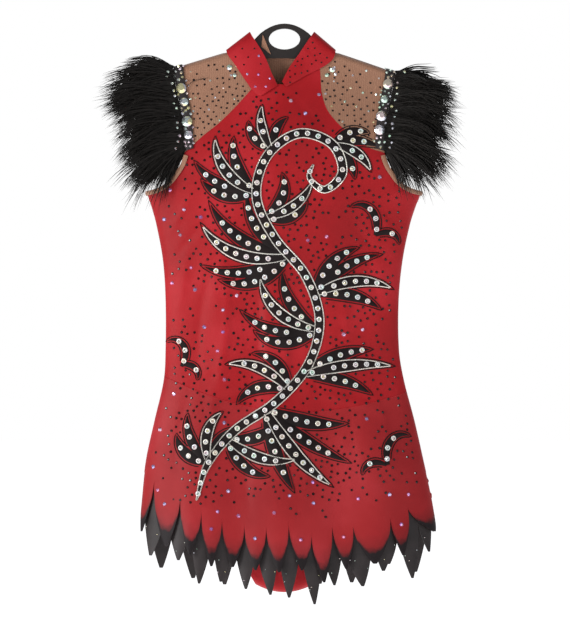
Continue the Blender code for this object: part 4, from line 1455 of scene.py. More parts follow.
@dataclass
class Brief:
    """The brief under the skirt, cut in a front and a back that meet at the sides and the gusset."""

    wardrobe: Wardrobe
    leg: Outline = ((138, -466), (121, -494), (92, -538), (62, -588), (41, -624), (33, -639))
    clearance: float = WALL + 1.2
    below_seam: float = 1.0
    gusset_z: float = -648.0
    gusset_rise: float = 9.0
    gusset_half: float = 33.0
    gusset_radius: float = 9.0
    columns: int = 48
    hip_rows: int = 10
    leg_rows: int = 36

    def __post_init__(self) -> None:
        """Draws the curves through the sections."""
        self.left, self.right, self.depth = columns(BRIEF_SECTIONS, "z", "left", "right", "depth")

    def gusset(self, x: Array) -> Array:
        """The lowest line of the brief."""
        return self.gusset_z + self.gusset_rise * (x / self.gusset_half) ** 2

    def point(self, x: Array, z: Array, side: Side) -> Array:
        """Points of the brief's outer surface.

        Args:
            x: Places across the garment.
            z: Their heights.
            side: Front or back.

        Returns:
            The points, as rows of X, Y, Z.
        """
        left, right = self.left(z), self.right(z)
        across = np.minimum(np.abs(2 * x - left - right) / (right - left), 1.0)
        full = self.depth(z) * np.sqrt(1 - across**FIGURE.squareness)
        full = np.minimum(full, np.maximum(FIGURE.half_depth(x, z, side) - self.clearance, 0.0))
        rise = np.clip((z - self.gusset(x)) / self.gusset_radius, 0, 1)
        return np.stack([x, side.value * full * np.sqrt(np.maximum(1 - (1 - rise) ** 2, 0.0)), z], axis=-1)

    def half(self, side: Side) -> Piece:
        """Makes one half.

        Args:
            side: Front or back.

        Returns:
            The piece.
        """
        across = -np.cos(math.pi * even(self.columns))
        z = seam_z(across, side) - self.below_seam
        top = np.stack([mix(self.left(z), self.right(z), (across + 1) / 2), z], axis=-1)
        edges = []
        for hand, curve in zip(Hand, (self.left, self.right)):
            waist = float(seam_z(hand.value, side)) - self.below_seam
            hips = np.linspace(waist, self.leg[0][1], self.hip_rows)
            upper = np.stack([curve(hips), hips], axis=-1)
            leg = sampled(handed(self.leg, hand), close_at_end(self.leg_rows, 1.5))
            edges.append(np.concatenate([upper[:-1], leg]))
        top[0], top[-1] = edges[0][0], edges[1][0]
        x = np.linspace(-self.gusset_half, self.gusset_half, self.columns + 1)
        net = coons(top, np.stack([x, self.gusset(x)], axis=-1), *edges)
        points = draw_in(self.point(net[..., 0], net[..., 1], side))
        return panel("brief_" + side.word, points, net, side, self.wardrobe.red)

    def build(self) -> list[Piece]:
        """Builds both halves."""
        return [self.half(side) for side in Side]


def shell(x: Array, q: Array) -> Array:
    """Points of the shoulders' outer surface.

    Args:
        x: Places across the garment.
        q: How far each lies from the shoulder line, below 0 in front of it.

    Returns:
        The points, as rows of X, Y, Z.
    """
    x, q = np.broadcast_arrays(np.asarray(x, float), np.asarray(q, float))
    z = FIGURE.height(x, np.abs(q))
    front, back = FIGURE.point(x, z, Side.FRONT), FIGURE.point(x, z, Side.BACK)
    return np.where((q < 0)[..., None], front, back)


@dataclass
class Armhole:
    """The free edge of one armhole, over the shoulder, and what is fixed along it."""

    hand: Hand
    top_run: float = 9.0

    def reach(self) -> float:
        """How far the edge runs from the shoulder line to the yoke seam."""
        return float(FIGURE.drop(np.array(self.hand.value * SEAM_X), np.array(SEAM_Z)))

    def places(self, half_rows: int, end: float, power: float) -> Array:
        """Places from the front end, over the shoulder line, to the back end."""
        half = (self.reach() - end) * even(half_rows) ** power
        return np.concatenate([-half[:0:-1], half])

    def at(self, q: Array) -> tuple[Array, Array]:
        """The edge at places along it.

        Args:
            q: The places, below 0 in front of the shoulder line.

        Returns:
            The edge's x at each, and the way out of the cloth.
        """
        h = self.hand.value
        edge = np.array(ARMHOLE)
        drops = np.nan_to_num(FIGURE.drop(h * edge[:, 0], edge[:, 1]))
        x = h * Curve(drops, edge[:, 0])(np.abs(q))
        inward = unit(shell(x - h, q) - shell(x, q))
        along = unit(shell(x, q + 0.5) - shell(x, q - 0.5))
        outward = unit(np.cross(inward, along))
        steep = np.abs(q) > self.top_run
        aside, up = np.where(steep, np.sign(q), 0.0), np.where(steep, 0.0, 1.0)
        guide = np.stack([np.zeros_like(x), aside, up], axis=-1)
        return x, outward * np.sign((outward * guide).sum(-1, keepdims=True))


@dataclass(frozen=True)
class Stone:
    """A large crystal on the armhole band: its height on the garment and its radius."""

    z: float
    radius: float


LARGE_STONES = {
    Hand.LEFT: (Stone(-70, 6.0), Stone(-87, 5.0), Stone(-111, 6.2), Stone(-127, 5.0)),
    Hand.RIGHT: (Stone(-65, 6.0), Stone(-84, 4.6), Stone(-105, 6.2), Stone(-122, 6.0)),
}


@dataclass(frozen=True)
class Rib:
    """A line up the collar from its seam to its free edge. It turns from -1 in front to 1 behind."""

    seam_x: float
    seam_z: float
    edge_x: float
    edge_z: float
    turn: float


COLLARS = {
    Hand.LEFT: (
        Rib(-27, -78.5, -8, -66, -1),
        Rib(-35, -74, -15, -51, -1),
        Rib(-43, -63, -20, -38, -1),
        Rib(-51, -51, -25, -28, -1),
        Rib(-59, -39, -31.5, -17.5, -1),
        Rib(-65, -31.5, -37, -9, -0.85),
        Rib(-67, ON_SHOULDER, -40, -3.5, 0),
        Rib(-64, -31.5, -39.5, -8, 0.85),
        Rib(-56, -34.5, -38, -16, 1),
        Rib(-46, -37, -35, -24, 1),
    ),
    Hand.RIGHT: (
        Rib(2, -68, -3, -62, -1),
        Rib(13, -61.5, 4.5, -47, -1),
        Rib(26, -54, 10.5, -38, -1),
        Rib(38, -48, 17.5, -28.5, -1),
        Rib(48.5, -42, 25, -17, -1),
        Rib(56, -35, 31, -8.5, -0.85),
        Rib(59, ON_SHOULDER, 34.5, -3.5, 0),
        Rib(56, -33.5, 34.5, -8.5, 0.85),
        Rib(50, -36, 33, -17, 1),
        Rib(41, -38, 31, -25, 1),
    ),
}


@dataclass
class Collar:
    """One standing collar piece, from the neck seam to the free edge, over the shoulder line."""

    wardrobe: Wardrobe
    hand: Hand
    bulge: float = 1.5
    ridge_lift: float = 1.3
    nearest: float = 6.2
    half_width: float = 158.0

    @property
    def name(self) -> str:
        """The piece's name."""
        return "collar_" + self.hand.word

    def grid(self, along: int, across: int) -> Array:
        """Points of the outer surface.

        Args:
            along: How many steps it has along the seam.
            across: How many steps from the seam to the free edge.

        Returns:
            Rows of points, from the seam's front end.
        """
        table = np.array([astuple(rib) for rib in COLLARS[self.hand]])
        on_top = np.isnan(table[:, 1])
        table[on_top, 1] = FIGURE.shoulder(table[on_top, 0])
        run = np.linspace(0, 1, len(table))
        x, z, edge_x, edge_z, turn = (Curve(run, column)(even(along)) for column in table.T)
        z = np.minimum(z, FIGURE.shoulder(x))
        lift, back = LAYER_GAP + WALL, turn > 0
        seam = np.where(back[:, None], FIGURE.point(x, z, Side.BACK), FIGURE.point(x, z, Side.FRONT))
        fall = np.clip(1 - (FIGURE.shoulder(x) - z) / FIGURE.top_radius, 0, 1)
        out = np.stack([np.zeros_like(x), np.where(back, 1, -1) * np.sqrt(1 - fall**2), fall], axis=-1)
        seam = seam + out * (lift + self.ridge_lift * (1 - turn**2))[:, None]
        aside = np.minimum(np.abs(edge_x) / self.half_width, 1)
        flat = FIGURE.depth(edge_z) * np.sqrt(1 - aside**FIGURE.squareness)
        depth = np.maximum(FIGURE.rounded(edge_x, edge_z, flat), self.nearest) + lift
        edge = np.stack([edge_x, turn * depth, edge_z], axis=-1)
        share = even(across)[None, :, None]
        points = seam[:, None] * (1 - share) + edge[:, None] * share
        points[..., 1] += turn[:, None] * (self.bulge * 4 * share[..., 0] * (1 - share[..., 0]))
        return points

    def build(self) -> list[Piece]:
        """Builds the piece.

        Returns:
            It alone.
        """
        points = self.grid(72, 12)
        bm = bmesh.new()
        lay_grid(bm, points, points[..., (0, 2)])
        bmesh.ops.recalc_face_normals(bm, faces=bm.faces)
        if sum(f.normal.y for f in bm.faces if f.calc_center_median().y < -8) > 0:
            bmesh.ops.reverse_faces(bm, faces=bm.faces)
        thicken(bm, level_within=0.0)
        return [cloth_piece(bm, self.name, self.wardrobe.red)]


@dataclass
class CollarEnd:
    """The small mesh corner of the back collar beside the grip."""

    wardrobe: Wardrobe
    outline: Outline = ((-26.5, -21), (-15.5, -30), (-25, -7))
    wall: float = 1.0
    gap: float = 2.7

    def build(self) -> list[Piece]:
        """Builds the corner.

        Returns:
            It alone.
        """
        bm = bmesh.new()
        uv_layer = bm.loops.layers.uv.verify()
        bm.faces.new([bm.verts.new((x, -self.gap, z)) for x, z in self.outline])
        bmesh.ops.subdivide_edges(bm, edges=bm.edges[:], cuts=7, use_grid_fill=True)
        for face in bm.faces:
            for loop in face.loops:
                loop[uv_layer].uv = (loop.vert.co.x * MM, loop.vert.co.z * MM)
        area = sum(face.calc_area() for face in bm.faces) * MM * MM
        for vert in second_skin(bm):
            vert.co.y -= self.wall
        return [cloth_piece(bm, "collar_end", self.wardrobe.mesh)]


@dataclass
class ArmTrim:
    """The black band along an armhole and the nude binding under the arm."""

    wardrobe: Wardrobe
    hand: Hand
    band_width: float = 10.5
    band_crown: float = 0.5
    binding_width: float = 5.0
    binding_lift: float = 0.8
    inset: float = 0.3

    def band(self) -> Piece:
        """The black band, which follows the edge over the shoulder.

        Returns:
            The band.
        """
        arm = Armhole(self.hand)
        q = arm.places(80, 2.0, 1.2)
        x, outward = arm.at(q)
        share = even(8)[None, :]
        here = x[:, None] - self.hand.value * (self.inset + self.band_width * share)
        foot = shell(here, np.broadcast_to(q[:, None], here.shape))
        crown = (self.band_crown * np.sin(math.pi * share))[..., None]
        outer = foot + outward[:, None] * (LAYER_GAP + WALL + crown)
        bm = between_grids(outer, foot + outward[:, None] * LAYER_GAP)
        return cloth_piece(bm, "armhole_band_" + self.hand.word, self.wardrobe.black)

    def binding_net(self) -> Array:
        """The net of the binding on one side of the garment.

        Returns:
            Rows of points from the armhole's edge inwards, each an x and z.
        """
        h = self.hand.value
        places = np.concatenate([[0.03], close_at_end(24)[2:]])
        after, before = np.minimum(places + 0.01, 1.0), places - 0.01
        run = underarm_edge(self.hand, after) - underarm_edge(self.hand, before)
        run = run / np.linalg.norm(run, axis=-1, keepdims=True)
        into = np.stack([h * run[:, 1], -np.abs(run[:, 0])], axis=-1)
        into[-1] = (0.0, -1.0)
        share = (self.inset + self.binding_width * even(6))[None, :, None]
        net = underarm_edge(self.hand, places)[:, None] + into[:, None] * share
        limit = np.abs(FIGURE.side_x(self.hand, net[..., 1]))
        net[..., 0] = h * np.minimum(np.abs(net[..., 0]), limit)
        net[-1, :, 0] = h * limit[-1]
        return net

    def binding(self) -> Piece:
        """The binding under the arm, front to back.

        Returns:
            The binding.
        """
        net, power = self.binding_net(), FIGURE.squareness
        x, z = net[..., 0], net[..., 1]
        left, right = FIGURE.left(z), FIGURE.right(z)
        half = (right - left) / 2
        across = np.minimum(np.abs(x - (right + left) / 2) / half, 1.0)
        rim = WALL + np.sin(math.pi * even(6))[None, :, None] * 0.5
        grids = []
        for side in Side:
            foot = FIGURE.point(x, z, side)
            level = 2 * np.sqrt(1 - across**power) / FIGURE.depth(z)
            aside = self.hand.value * power * across ** (power - 1) / half
            out = unit(np.stack([aside, side.value * level, np.zeros_like(half)], axis=-1))
            grids.append((foot + out * (self.binding_lift + rim), foot + out * self.binding_lift))
        outer, inner = (np.concatenate([front, back[-2::-1]]) for front, back in zip(*grids))
        name = "underarm_binding_" + self.hand.word
        return cloth_piece(between_grids(outer, inner), name, self.wardrobe.mesh)

    def build(self) -> list[Piece]:
        """Builds both."""
        return [self.band(), self.binding()]


@dataclass(frozen=True)
class Lock:
    """The course of the feathers at a share of the way from the shoulder line to the strip's end."""

    share: float
    length: float
    down: float
    spread: float


FEATHER_LOCKS = {
    Hand.LEFT: (
        Lock(0.0, 62, -0.20, 0.0),
        Lock(0.15, 86, -0.15, 0.06),
        Lock(0.35, 92, -0.10, 0.1),
        Lock(0.7, 89, 0.08, 0.1),
        Lock(0.88, 92, 0.28, 0.1),
        Lock(1.0, 78, 0.60, 0.1),
    ),
    Hand.RIGHT: (
        Lock(0.0, 50, -0.06, 0.0),
        Lock(0.15, 76, -0.04, 0.06),
        Lock(0.35, 88, -0.05, 0.1),
        Lock(0.7, 90, 0.08, 0.1),
        Lock(0.88, 88, 0.28, 0.1),
        Lock(1.0, 74, 0.60, 0.1),
    ),
}


@dataclass(frozen=True)
class Strip:
    """The strip that holds the feathers: its gap from the cloth, its wall, and its reach in and out."""

    gap: float = 0.6
    wall: float = 1.6
    inner: float = 3.6
    outer: float = 2.4


@dataclass
class Feathers:
    """The fringe of black barbs that stands out from an armhole, rooted in its own narrow strip."""

    wardrobe: Wardrobe
    hand: Hand
    strip: Strip = Strip()
    barbs: int = 4200
    tufts: int = 120
    segments: int = 7
    short_of_seam: float = 3.0
    in_front: float = 0.56
    crowding: float = 0.92
    hanging: float = 0.09
    long_share: float = 0.62
    droop: tuple[float, float] = (-0.07, -0.27)
    gather: float = 0.8

    def courses(self) -> tuple[Array, Array]:
        """Works out where every barb goes.

        Returns:
            The points of each barb's middle line, and its radius at each.
        """
        rng = np.random.default_rng(SEED + self.hand.value)
        arm, h, n, strip = Armhole(self.hand), self.hand.value, self.barbs, self.strip
        reach = arm.reach() - self.short_of_seam
        side = np.where(rng.random(n) < self.in_front, -1.0, 1.0)
        share = rng.random(n) ** self.crowding
        hanging = rng.random(n) < self.hanging
        share = np.where(hanging, 1 - self.hanging * rng.random(n), share)
        q = side * reach * share
        x, outward = arm.at(q)
        level = rng.uniform(-strip.inner, strip.outer, n)
        # The barbs that lie on top start over the edge of the band
        over = level > strip.outer - 1.5
        level = np.where(over, strip.outer + rng.uniform(0.0, 0.5, n), level)
        root = shell(x, q) + outward * level[:, None]
        root[:, 0] += h * np.where(over, -rng.uniform(0.0, 3.0, n), strip.gap + strip.wall * 0.6)
        length, down, spread = (
            curve(share) for curve in columns(FEATHER_LOCKS[self.hand], "share", "length", "down", "spread")
        )
        # Those at the lower end hang over the underarm binding
        length = length * np.where(hanging, rng.uniform(0.35, 0.9, n), 1.0)
        down = down + np.where(hanging, rng.uniform(0.0, 1.5, n), 0.0)
        course = np.stack([np.full(n, float(h)), spread * side, -down], axis=-1)
        rise = (level[:, None] + strip.inner) / (strip.inner + strip.outer)
        course = course + outward * (0.17 * rise - 0.02)
        # Barbs cling together in tufts, which wave as one
        tufts = self.tufts
        order = np.sort(rng.uniform(-reach, reach, tufts))
        tuft = np.clip(np.searchsorted(order, q) + rng.integers(-2, 3, n), 0, tufts - 1)
        lean = np.clip(rng.normal(0, 1, (tufts, 3)), -2.0, 0.8) * (0.06, 0.12, 0.24)
        course = unit(course + lean[tuft] + rng.normal(0, 1, (n, 3)) * (0.015, 0.02, 0.035))
        length = length * rng.uniform(0.70, 1.05, tufts)[tuft]
        whole = rng.random(n) < self.long_share
        length = length * np.where(whole, rng.uniform(0.86, 1.0, n), rng.uniform(0.3, 0.75, n))
        length = length[:, None, None]
        along = even(self.segments)[None, :, None]
        bend = (rng.normal(0, 1, (tufts, 3)) * (0.4, 0.5, 1.0))[tuft]
        bend = unit(bend + rng.normal(0, 0.4, (n, 3)))[:, None]
        wave = rng.uniform(3, 7, tufts)[tuft][:, None, None]
        droop = np.array([self.droop[0] * h, 0, self.droop[1]]) * length * along**2.8
        curl = bend * length * (0.17 * along**2 + 0.06 * np.sin(along * wave) * along)
        middle = np.zeros((tufts, 3))
        np.add.at(middle, tuft, root)
        middle /= np.maximum(np.bincount(tuft, minlength=tufts), 1)[:, None]
        gather = (middle[tuft] - root)[:, None] * self.gather * along
        path = root[:, None] + course[:, None] * length * along + droop + curl + gather
        radius = rng.uniform(0.36, 0.66, n)[:, None] * (1.0 - 0.6 * even(self.segments)[None, :] ** 3)
        if self.hand is Hand.LEFT:
            path[0], radius[0] = self.stray(along[0, :, 0]), 0.42
        return path, radius

    def stray(self, along: Array) -> Array:
        """The one stray barb that lies over the mesh."""
        thirds = (0.0, 0.5, 1.0)
        x, z = Curve(thirds, (-114, -104, -86)), Curve(thirds, (-70, -61, -57))
        return on_front(np.stack([x(along), z(along)], axis=-1), 3.2 - 2.4 * along)

    def build(self) -> list[Piece]:
        """Builds the strip and its barbs.

        Returns:
            Both as one piece.
        """
        arm, h, strip = Armhole(self.hand), self.hand.value, self.strip
        q = arm.places(30, self.short_of_seam, 1.0)
        x, outward = arm.at(q)
        levels = np.linspace(-strip.inner, strip.outer, 4)[None, :, None]
        foot = shell(x, q)[:, None] + outward[:, None] * levels
        step = np.array([h, 0.0, 0.0])
        bm = between_grids(foot + step * (strip.gap + strip.wall), foot + step * strip.gap)
        path, radius = self.courses()
        tubes_into(bm, path, radius, 3)
        name = "feather_" + self.hand.word
        return [sewn(bm, name, self.wardrobe.feather, name)]


@dataclass
class Seams:
    """The narrow sewn ridges that close the seams between the panels."""

    wardrobe: Wardrobe
    radius: float = 0.55
    sunk: float = 0.2
    below_binding: float = 6.5

    def red_lines(self) -> list[Array]:
        """The seams of the red cloth: the sides, the waist and the yokes.

        Returns:
            The points of each.
        """
        made = []
        for hand in Hand:
            z = np.linspace(UNDERARM_Z - self.below_binding, SIDE_SLIT_Z, 120)
            made.append(np.stack([FIGURE.side_x(hand, z) - hand.value * self.sunk, 0 * z, z], axis=-1))
        across = np.linspace(-0.985, 0.985, 160)
        flat = []
        for side in Side:
            z = seam_z(across, side)
            flat.append((side, FIGURE.at_across(across, z), z))
        flat += [(Side.FRONT, *sampled(YOKE_SEAM[hand], even(60)).T) for hand in Hand]
        flat.append((Side.BACK, *sampled(BACK_YOKE_SEAM, even(100)).T))
        for side, x, z in flat:
            made.append(FIGURE.point(x, z, side) - FIGURE.normal(x, z, side) * self.sunk)
        return made

    def shoulder_lines(self) -> list[Array]:
        """The seams of the mesh, on top of the shoulders."""
        tops = [shoulder_line(start, end, 30) for start, end in ((-127, -68), (60, 127))]
        return [np.stack([top[:, 0], 0 * top[:, 0], top[:, 1] - self.sunk], axis=-1) for top in tops]

    def build(self) -> list[Piece]:
        """Builds the ridges.

        Returns:
            One piece for each cloth.
        """
        made, w = [], self.wardrobe
        cloths = ("red", self.red_lines(), w.red), ("mesh", self.shoulder_lines(), w.mesh)
        for cloth, lines, dress in cloths:
            bm = bmesh.new()
            for line in lines:
                cord_into(bm, line, self.radius, 6)
            made.append(sewn(bm, cloth + "_seams", dress))
        return made


@dataclass
class Hanger:
    """The moulded hanger: its CAD solid is right, so it only gets its finish."""

    wardrobe: Wardrobe

    def build(self) -> list[Piece]:
        """Dresses the hanger."""
        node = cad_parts["hanger"]
        node.material_slots[0].material = self.wardrobe.plastic.material
        return [node]


@dataclass(frozen=True)
class Frond:
    """A tapering ribbon of black cloth: its start, heading in degrees from upright, and how it curls."""

    x: float
    z: float
    heading: float
    length: float
    width: float
    curl: float
    tighten: float = 1.3
    corded: bool = False
    blunt: float = 0.25


# The main stem of a plain scrolling vine, as places on the front
STEM = (
    (-100, -540),
    (-88, -500),
    (-58, -462),
    (-12, -430),
    (26, -388),
    (40, -336),
    (24, -284),
    (-12, -240),
    (-32, -194),
    (-20, -148),
    (16, -122),
    (54, -134),
    (66, -166),
    (46, -186),
    (28, -172),
    (33, -157),
)


@dataclass(frozen=True)
class Fan:
    """A spray of leaves that spread from one place, the middle ones longest."""

    x: float
    z: float
    first: float
    last: float
    count: int
    longest: float
    width: float
    curl: float
    root: float = 5.0

    def fronds(self) -> list[Frond]:
        """The spray's leaves, uneven as if cut by hand.

        Returns:
            The leaves in order.
        """
        made = []
        for n, share in enumerate(even(self.count - 1)):
            length = self.longest * (0.62 + 0.38 * math.sin(math.pi * (0.12 + 0.76 * share)))
            length = length * (1 + 0.06 * math.sin(5 * n))
            heading = mix(self.first, self.last, share)
            reach = math.radians(heading)
            start = self.x + self.root * math.sin(reach), self.z + self.root * math.cos(reach)
            width = self.width * (1 + 0.08 * math.cos(4 * n))
            curl = self.curl * (1 + 0.18 * math.sin(3 * n + 1))
            made.append(Frond(*start, heading, length, width, curl, corded=n == self.count // 2))
        return made


FANS = (
    Fan(-86, -498, -78, 18, 4, 62, 14, 62),
    Fan(-66, -470, 96, 158, 3, 84, 15, -58),
    Fan(-22, -436, 112, 170, 4, 116, 17, -24),
    Fan(20, -398, 56, 92, 3, 104, 16, 28),
    Fan(6, -416, -72, -14, 3, 80, 14, -66),
    Fan(39, -346, -122, -56, 4, 96, 15, 64),
    Fan(34, -306, 20, 84, 4, 92, 15, 48),
    Fan(6, -262, -138, -60, 5, 110, 16, 60),
    Fan(-24, -218, 54, 100, 3, 70, 14, -66),
    Fan(-32, -190, -104, -44, 4, 82, 15, 58),
    Fan(-14, -142, -62, 2, 3, 52, 12, 50),
    Fan(54, -134, 50, 128, 4, 54, 13, 50),
)
# Curled sprigs away from the vine
SPRIGS = (
    Frond(104, -238, 12, 54, 10, -130, 1.5),
    Frond(104, -238, 64, 34, 8, 110, 1.5),
    Frond(118, -500, -14, 52, 10, 130, 1.5),
    Frond(116, -500, -66, 34, 8, -110, 1.5),
    Frond(-118, -388, 30, 46, 9, -150, 1.5),
    Frond(-118, -386, 84, 30, 8, 120, 1.5),
)


@dataclass
class Course:
    """A line laid on the front of the garment, with its half width."""

    line: Array
    half: Array

    def offset(self, share: float, beyond: float = 0.0) -> Array:
        """The line moved by a share of its half width, and so much beyond."""
        return self.line + to_the_right(self.line) * (self.half * share + beyond)[:, None]

    def spaced(self, start: float, step: float) -> Array:
        """Places along the line at even steps, from so far along it."""
        runs = runs_along(self.line)
        return places_along(self.line, runs, np.arange(start, runs[-1] - 3.0, step))


def frond_course(frond: Frond, points: int = 40) -> Course:
    """Works out the course of a frond.

    Args:
        frond: The frond.
        points: How many steps its line has.

    Returns:
        Its line and half width.
    """
    s = even(points)
    heading = np.radians(frond.heading + frond.curl * s**frond.tighten)
    turned = (heading[:-1] + heading[1:]) / 2
    run = np.stack([np.sin(turned), np.cos(turned)], axis=-1) * (frond.length / points)
    line = np.array([frond.x, frond.z]) + np.concatenate([np.zeros((1, 2)), np.cumsum(run, axis=0)])
    swell = 0.4 + 0.6 * np.sin(np.minimum(s / 0.62, 1.0) * math.pi / 2)
    half = frond.width / 2 * swell * (1 - s**2.6) ** 0.9
    return Course(line, np.maximum(half, frond.blunt))


def stem_course(points: int = 240, half_width: float = 5.0) -> Course:
    """Works out the course of the main stem, which tapers to both ends.

    Args:
        points: How many steps its line has.
        half_width: Half its width in the middle.

    Returns:
        Its line and half width.
    """
    s = even(points)
    half = half_width * np.clip(s / 0.12, 0.004, 1) ** 0.6 * np.clip((1 - s) / 0.10, 0.004, 1) ** 0.55
    return Course(sampled(STEM, s), half)


def on_front(place: Array, lift: float | Array) -> Array:
    """Points so far above the front's cloth, from rows of x and z."""
    x, z = place[..., 0], place[..., 1]
    return FIGURE.point(x, z, Side.FRONT) + FIGURE.normal(x, z, Side.FRONT) * np.asarray(lift)[..., None]


def stretches(line: Array, keep: Array) -> list[Array]:
    """The unbroken parts of a line whose points are kept.

    Args:
        line: The line's points.
        keep: Which are kept.

    Returns:
        The parts that have more than three points.
    """
    breaks = np.flatnonzero(np.diff(keep.astype(int))) + 1
    parts = np.split(np.arange(len(line)), breaks)
    return [line[part] for part in parts if keep[part[0]] and len(part) > 3]


def spaced_apart(places: Iterable[Array], gap: float) -> Array:
    """Places in order, without those that lie too close to an earlier one.

    Args:
        places: The places.
        gap: How far apart they have to be.

    Returns:
        Those that are kept.
    """
    kept: list[Array] = []
    for place in places:
        if all(np.hypot(*(place - other)) >= gap for other in kept):
            kept.append(place)
    return np.array(kept)


def away_from(places: Array, others: Array, gap: float) -> Array:
    """The places that lie further than a gap from each of the others."""
    return np.array([place for place in places if np.hypot(*(others - place).T).min() > gap])


class Gem(Enum):
    """Shapes that are fixed to the cloth many times over."""

    RING = "ring"
    ROUND = "round"
    DOT = "dot"
    LARGE = "large"


RING_PROFILE = ((0.44, 0.0), (0.5, 0.26), (0.82, 0.34), (1.0, 0.0))
CUT_STEPS = ((0.30, 0.26), (0.22, 0.16))
GEM_SIDES = {Gem.ROUND: 8, Gem.DOT: 6}


def gem_template(gem: Gem) -> tuple[Array, list[list[int]]]:
    """One small shape of radius 1 that lies on the plane z = 0.

    Args:
        gem: Which shape.

    Returns:
        Its corners, and the corners of each face.
    """
    bm = bmesh.new()
    if gem is Gem.RING:
        verts = [bm.verts.new((r, 0.0, z)) for r, z in RING_PROFILE]
        edges = [bm.edges.new((a, b)) for a, b in zip(verts, verts[1:] + verts[:1])]
        full = {"cent": (0, 0, 0), "axis": (0, 0, 1), "angle": 2 * math.pi, "steps": 12}
        bmesh.ops.spin(bm, geom=verts + edges, use_merge=True, use_duplicate=False, **full)
        bmesh.ops.remove_doubles(bm, verts=bm.verts, dist=1e-4)
    elif gem is Gem.LARGE:
        bmesh.ops.create_cone(bm, cap_ends=True, segments=12, radius1=1.0, radius2=0.98, depth=0.2)
        top = max(bm.faces, key=lambda face: face.calc_center_median().z)
        for inset, rise in CUT_STEPS:
            bmesh.ops.inset_region(bm, faces=[top], thickness=inset, use_even_offset=True)
            bmesh.ops.translate(bm, vec=(0, 0, rise), verts=top.verts)
        bmesh.ops.translate(bm, vec=(0, 0, 0.1), verts=bm.verts)
    else:
        sides = GEM_SIDES[gem]
        bmesh.ops.create_cone(bm, cap_ends=True, segments=sides, radius1=1.0, radius2=0.52, depth=0.6)
        bmesh.ops.translate(bm, vec=(0, 0, 0.3), verts=bm.verts)
    bmesh.ops.recalc_face_normals(bm, faces=bm.faces)
    bm.verts.index_update()
    corners = np.array([v.co[:] for v in bm.verts])
    faces = [[v.index for v in f.verts] for f in bm.faces]
    bm.free()
    return corners, faces


@dataclass
class Spots:
    """Where many of one kind of stone go: points, outward directions and radii in millimetres."""

    points: list[Array] = field(default_factory=list)
    normals: list[Array] = field(default_factory=list)
    radii: list[Array] = field(default_factory=list)

    def add(self, points: Array, normals: Array, radii: float | Array) -> None:
        """Adds places.

        Args:
            points: The points.
            normals: The outward direction at each, or one for all.
            radii: The radius of each, or one for all.
        """
        points = np.atleast_2d(points)
        self.points.append(points)
        self.normals.append(np.broadcast_to(normals, points.shape))
        self.radii.append(np.broadcast_to(np.asarray(radii, float), (len(points),)))

    def add_front(self, places: Array, radius: float | Array, lift: float = 0.0) -> None:
        """Adds places on the front's cloth.

        Args:
            places: Rows of x and z.
            radius: The radius of each, or one for all.
            lift: How far above the cloth they lie.
        """
        if len(places):
            normal = FIGURE.normal(places[:, 0], places[:, 1], Side.FRONT)
            self.add(on_front(places, lift), normal, radius)

    def build(self, name: str, gem: Gem, dress: Dress, tilt: float, smooth: bool = False) -> Piece:
        """Makes all the stones.

        Args:
            name: The piece's name.
            gem: Their shape.
            dress: What they wear.
            tilt: How unevenly they lie.
            smooth: Whether their faces are shaded as one.

        Returns:
            One joined piece.
        """
        rng = np.random.default_rng(SEED + len(name))
        points, normals, radii = (np.concatenate(part) for part in (self.points, self.normals, self.radii))
        normals = unit(normals + rng.normal(0, tilt, normals.shape))
        first = unit(np.cross(normals, np.array([0.31, 0.12, 0.95])))
        second = np.cross(normals, first)
        spin = rng.uniform(0, 2 * math.pi, len(points))[:, None]
        right = first * np.cos(spin) + second * np.sin(spin)
        corners, faces = gem_template(gem)
        axes = (right, np.cross(normals, right), normals)
        spread = sum(corners[None, :, k, None] * axis[:, None] for k, axis in enumerate(axes))
        verts = (points[:, None] + spread * radii[:, None, None]) * MM
        count = len(corners)
        joined_faces = [[i + n * count for i in face] for n in range(len(points)) for face in faces]
        mesh = bpy.data.meshes.new(name)
        mesh.from_pydata(verts.reshape(-1, 3).tolist(), [], joined_faces)
        mesh.update()
        if smooth:
            mesh.shade_smooth()
        return placed(name, mesh, dress)


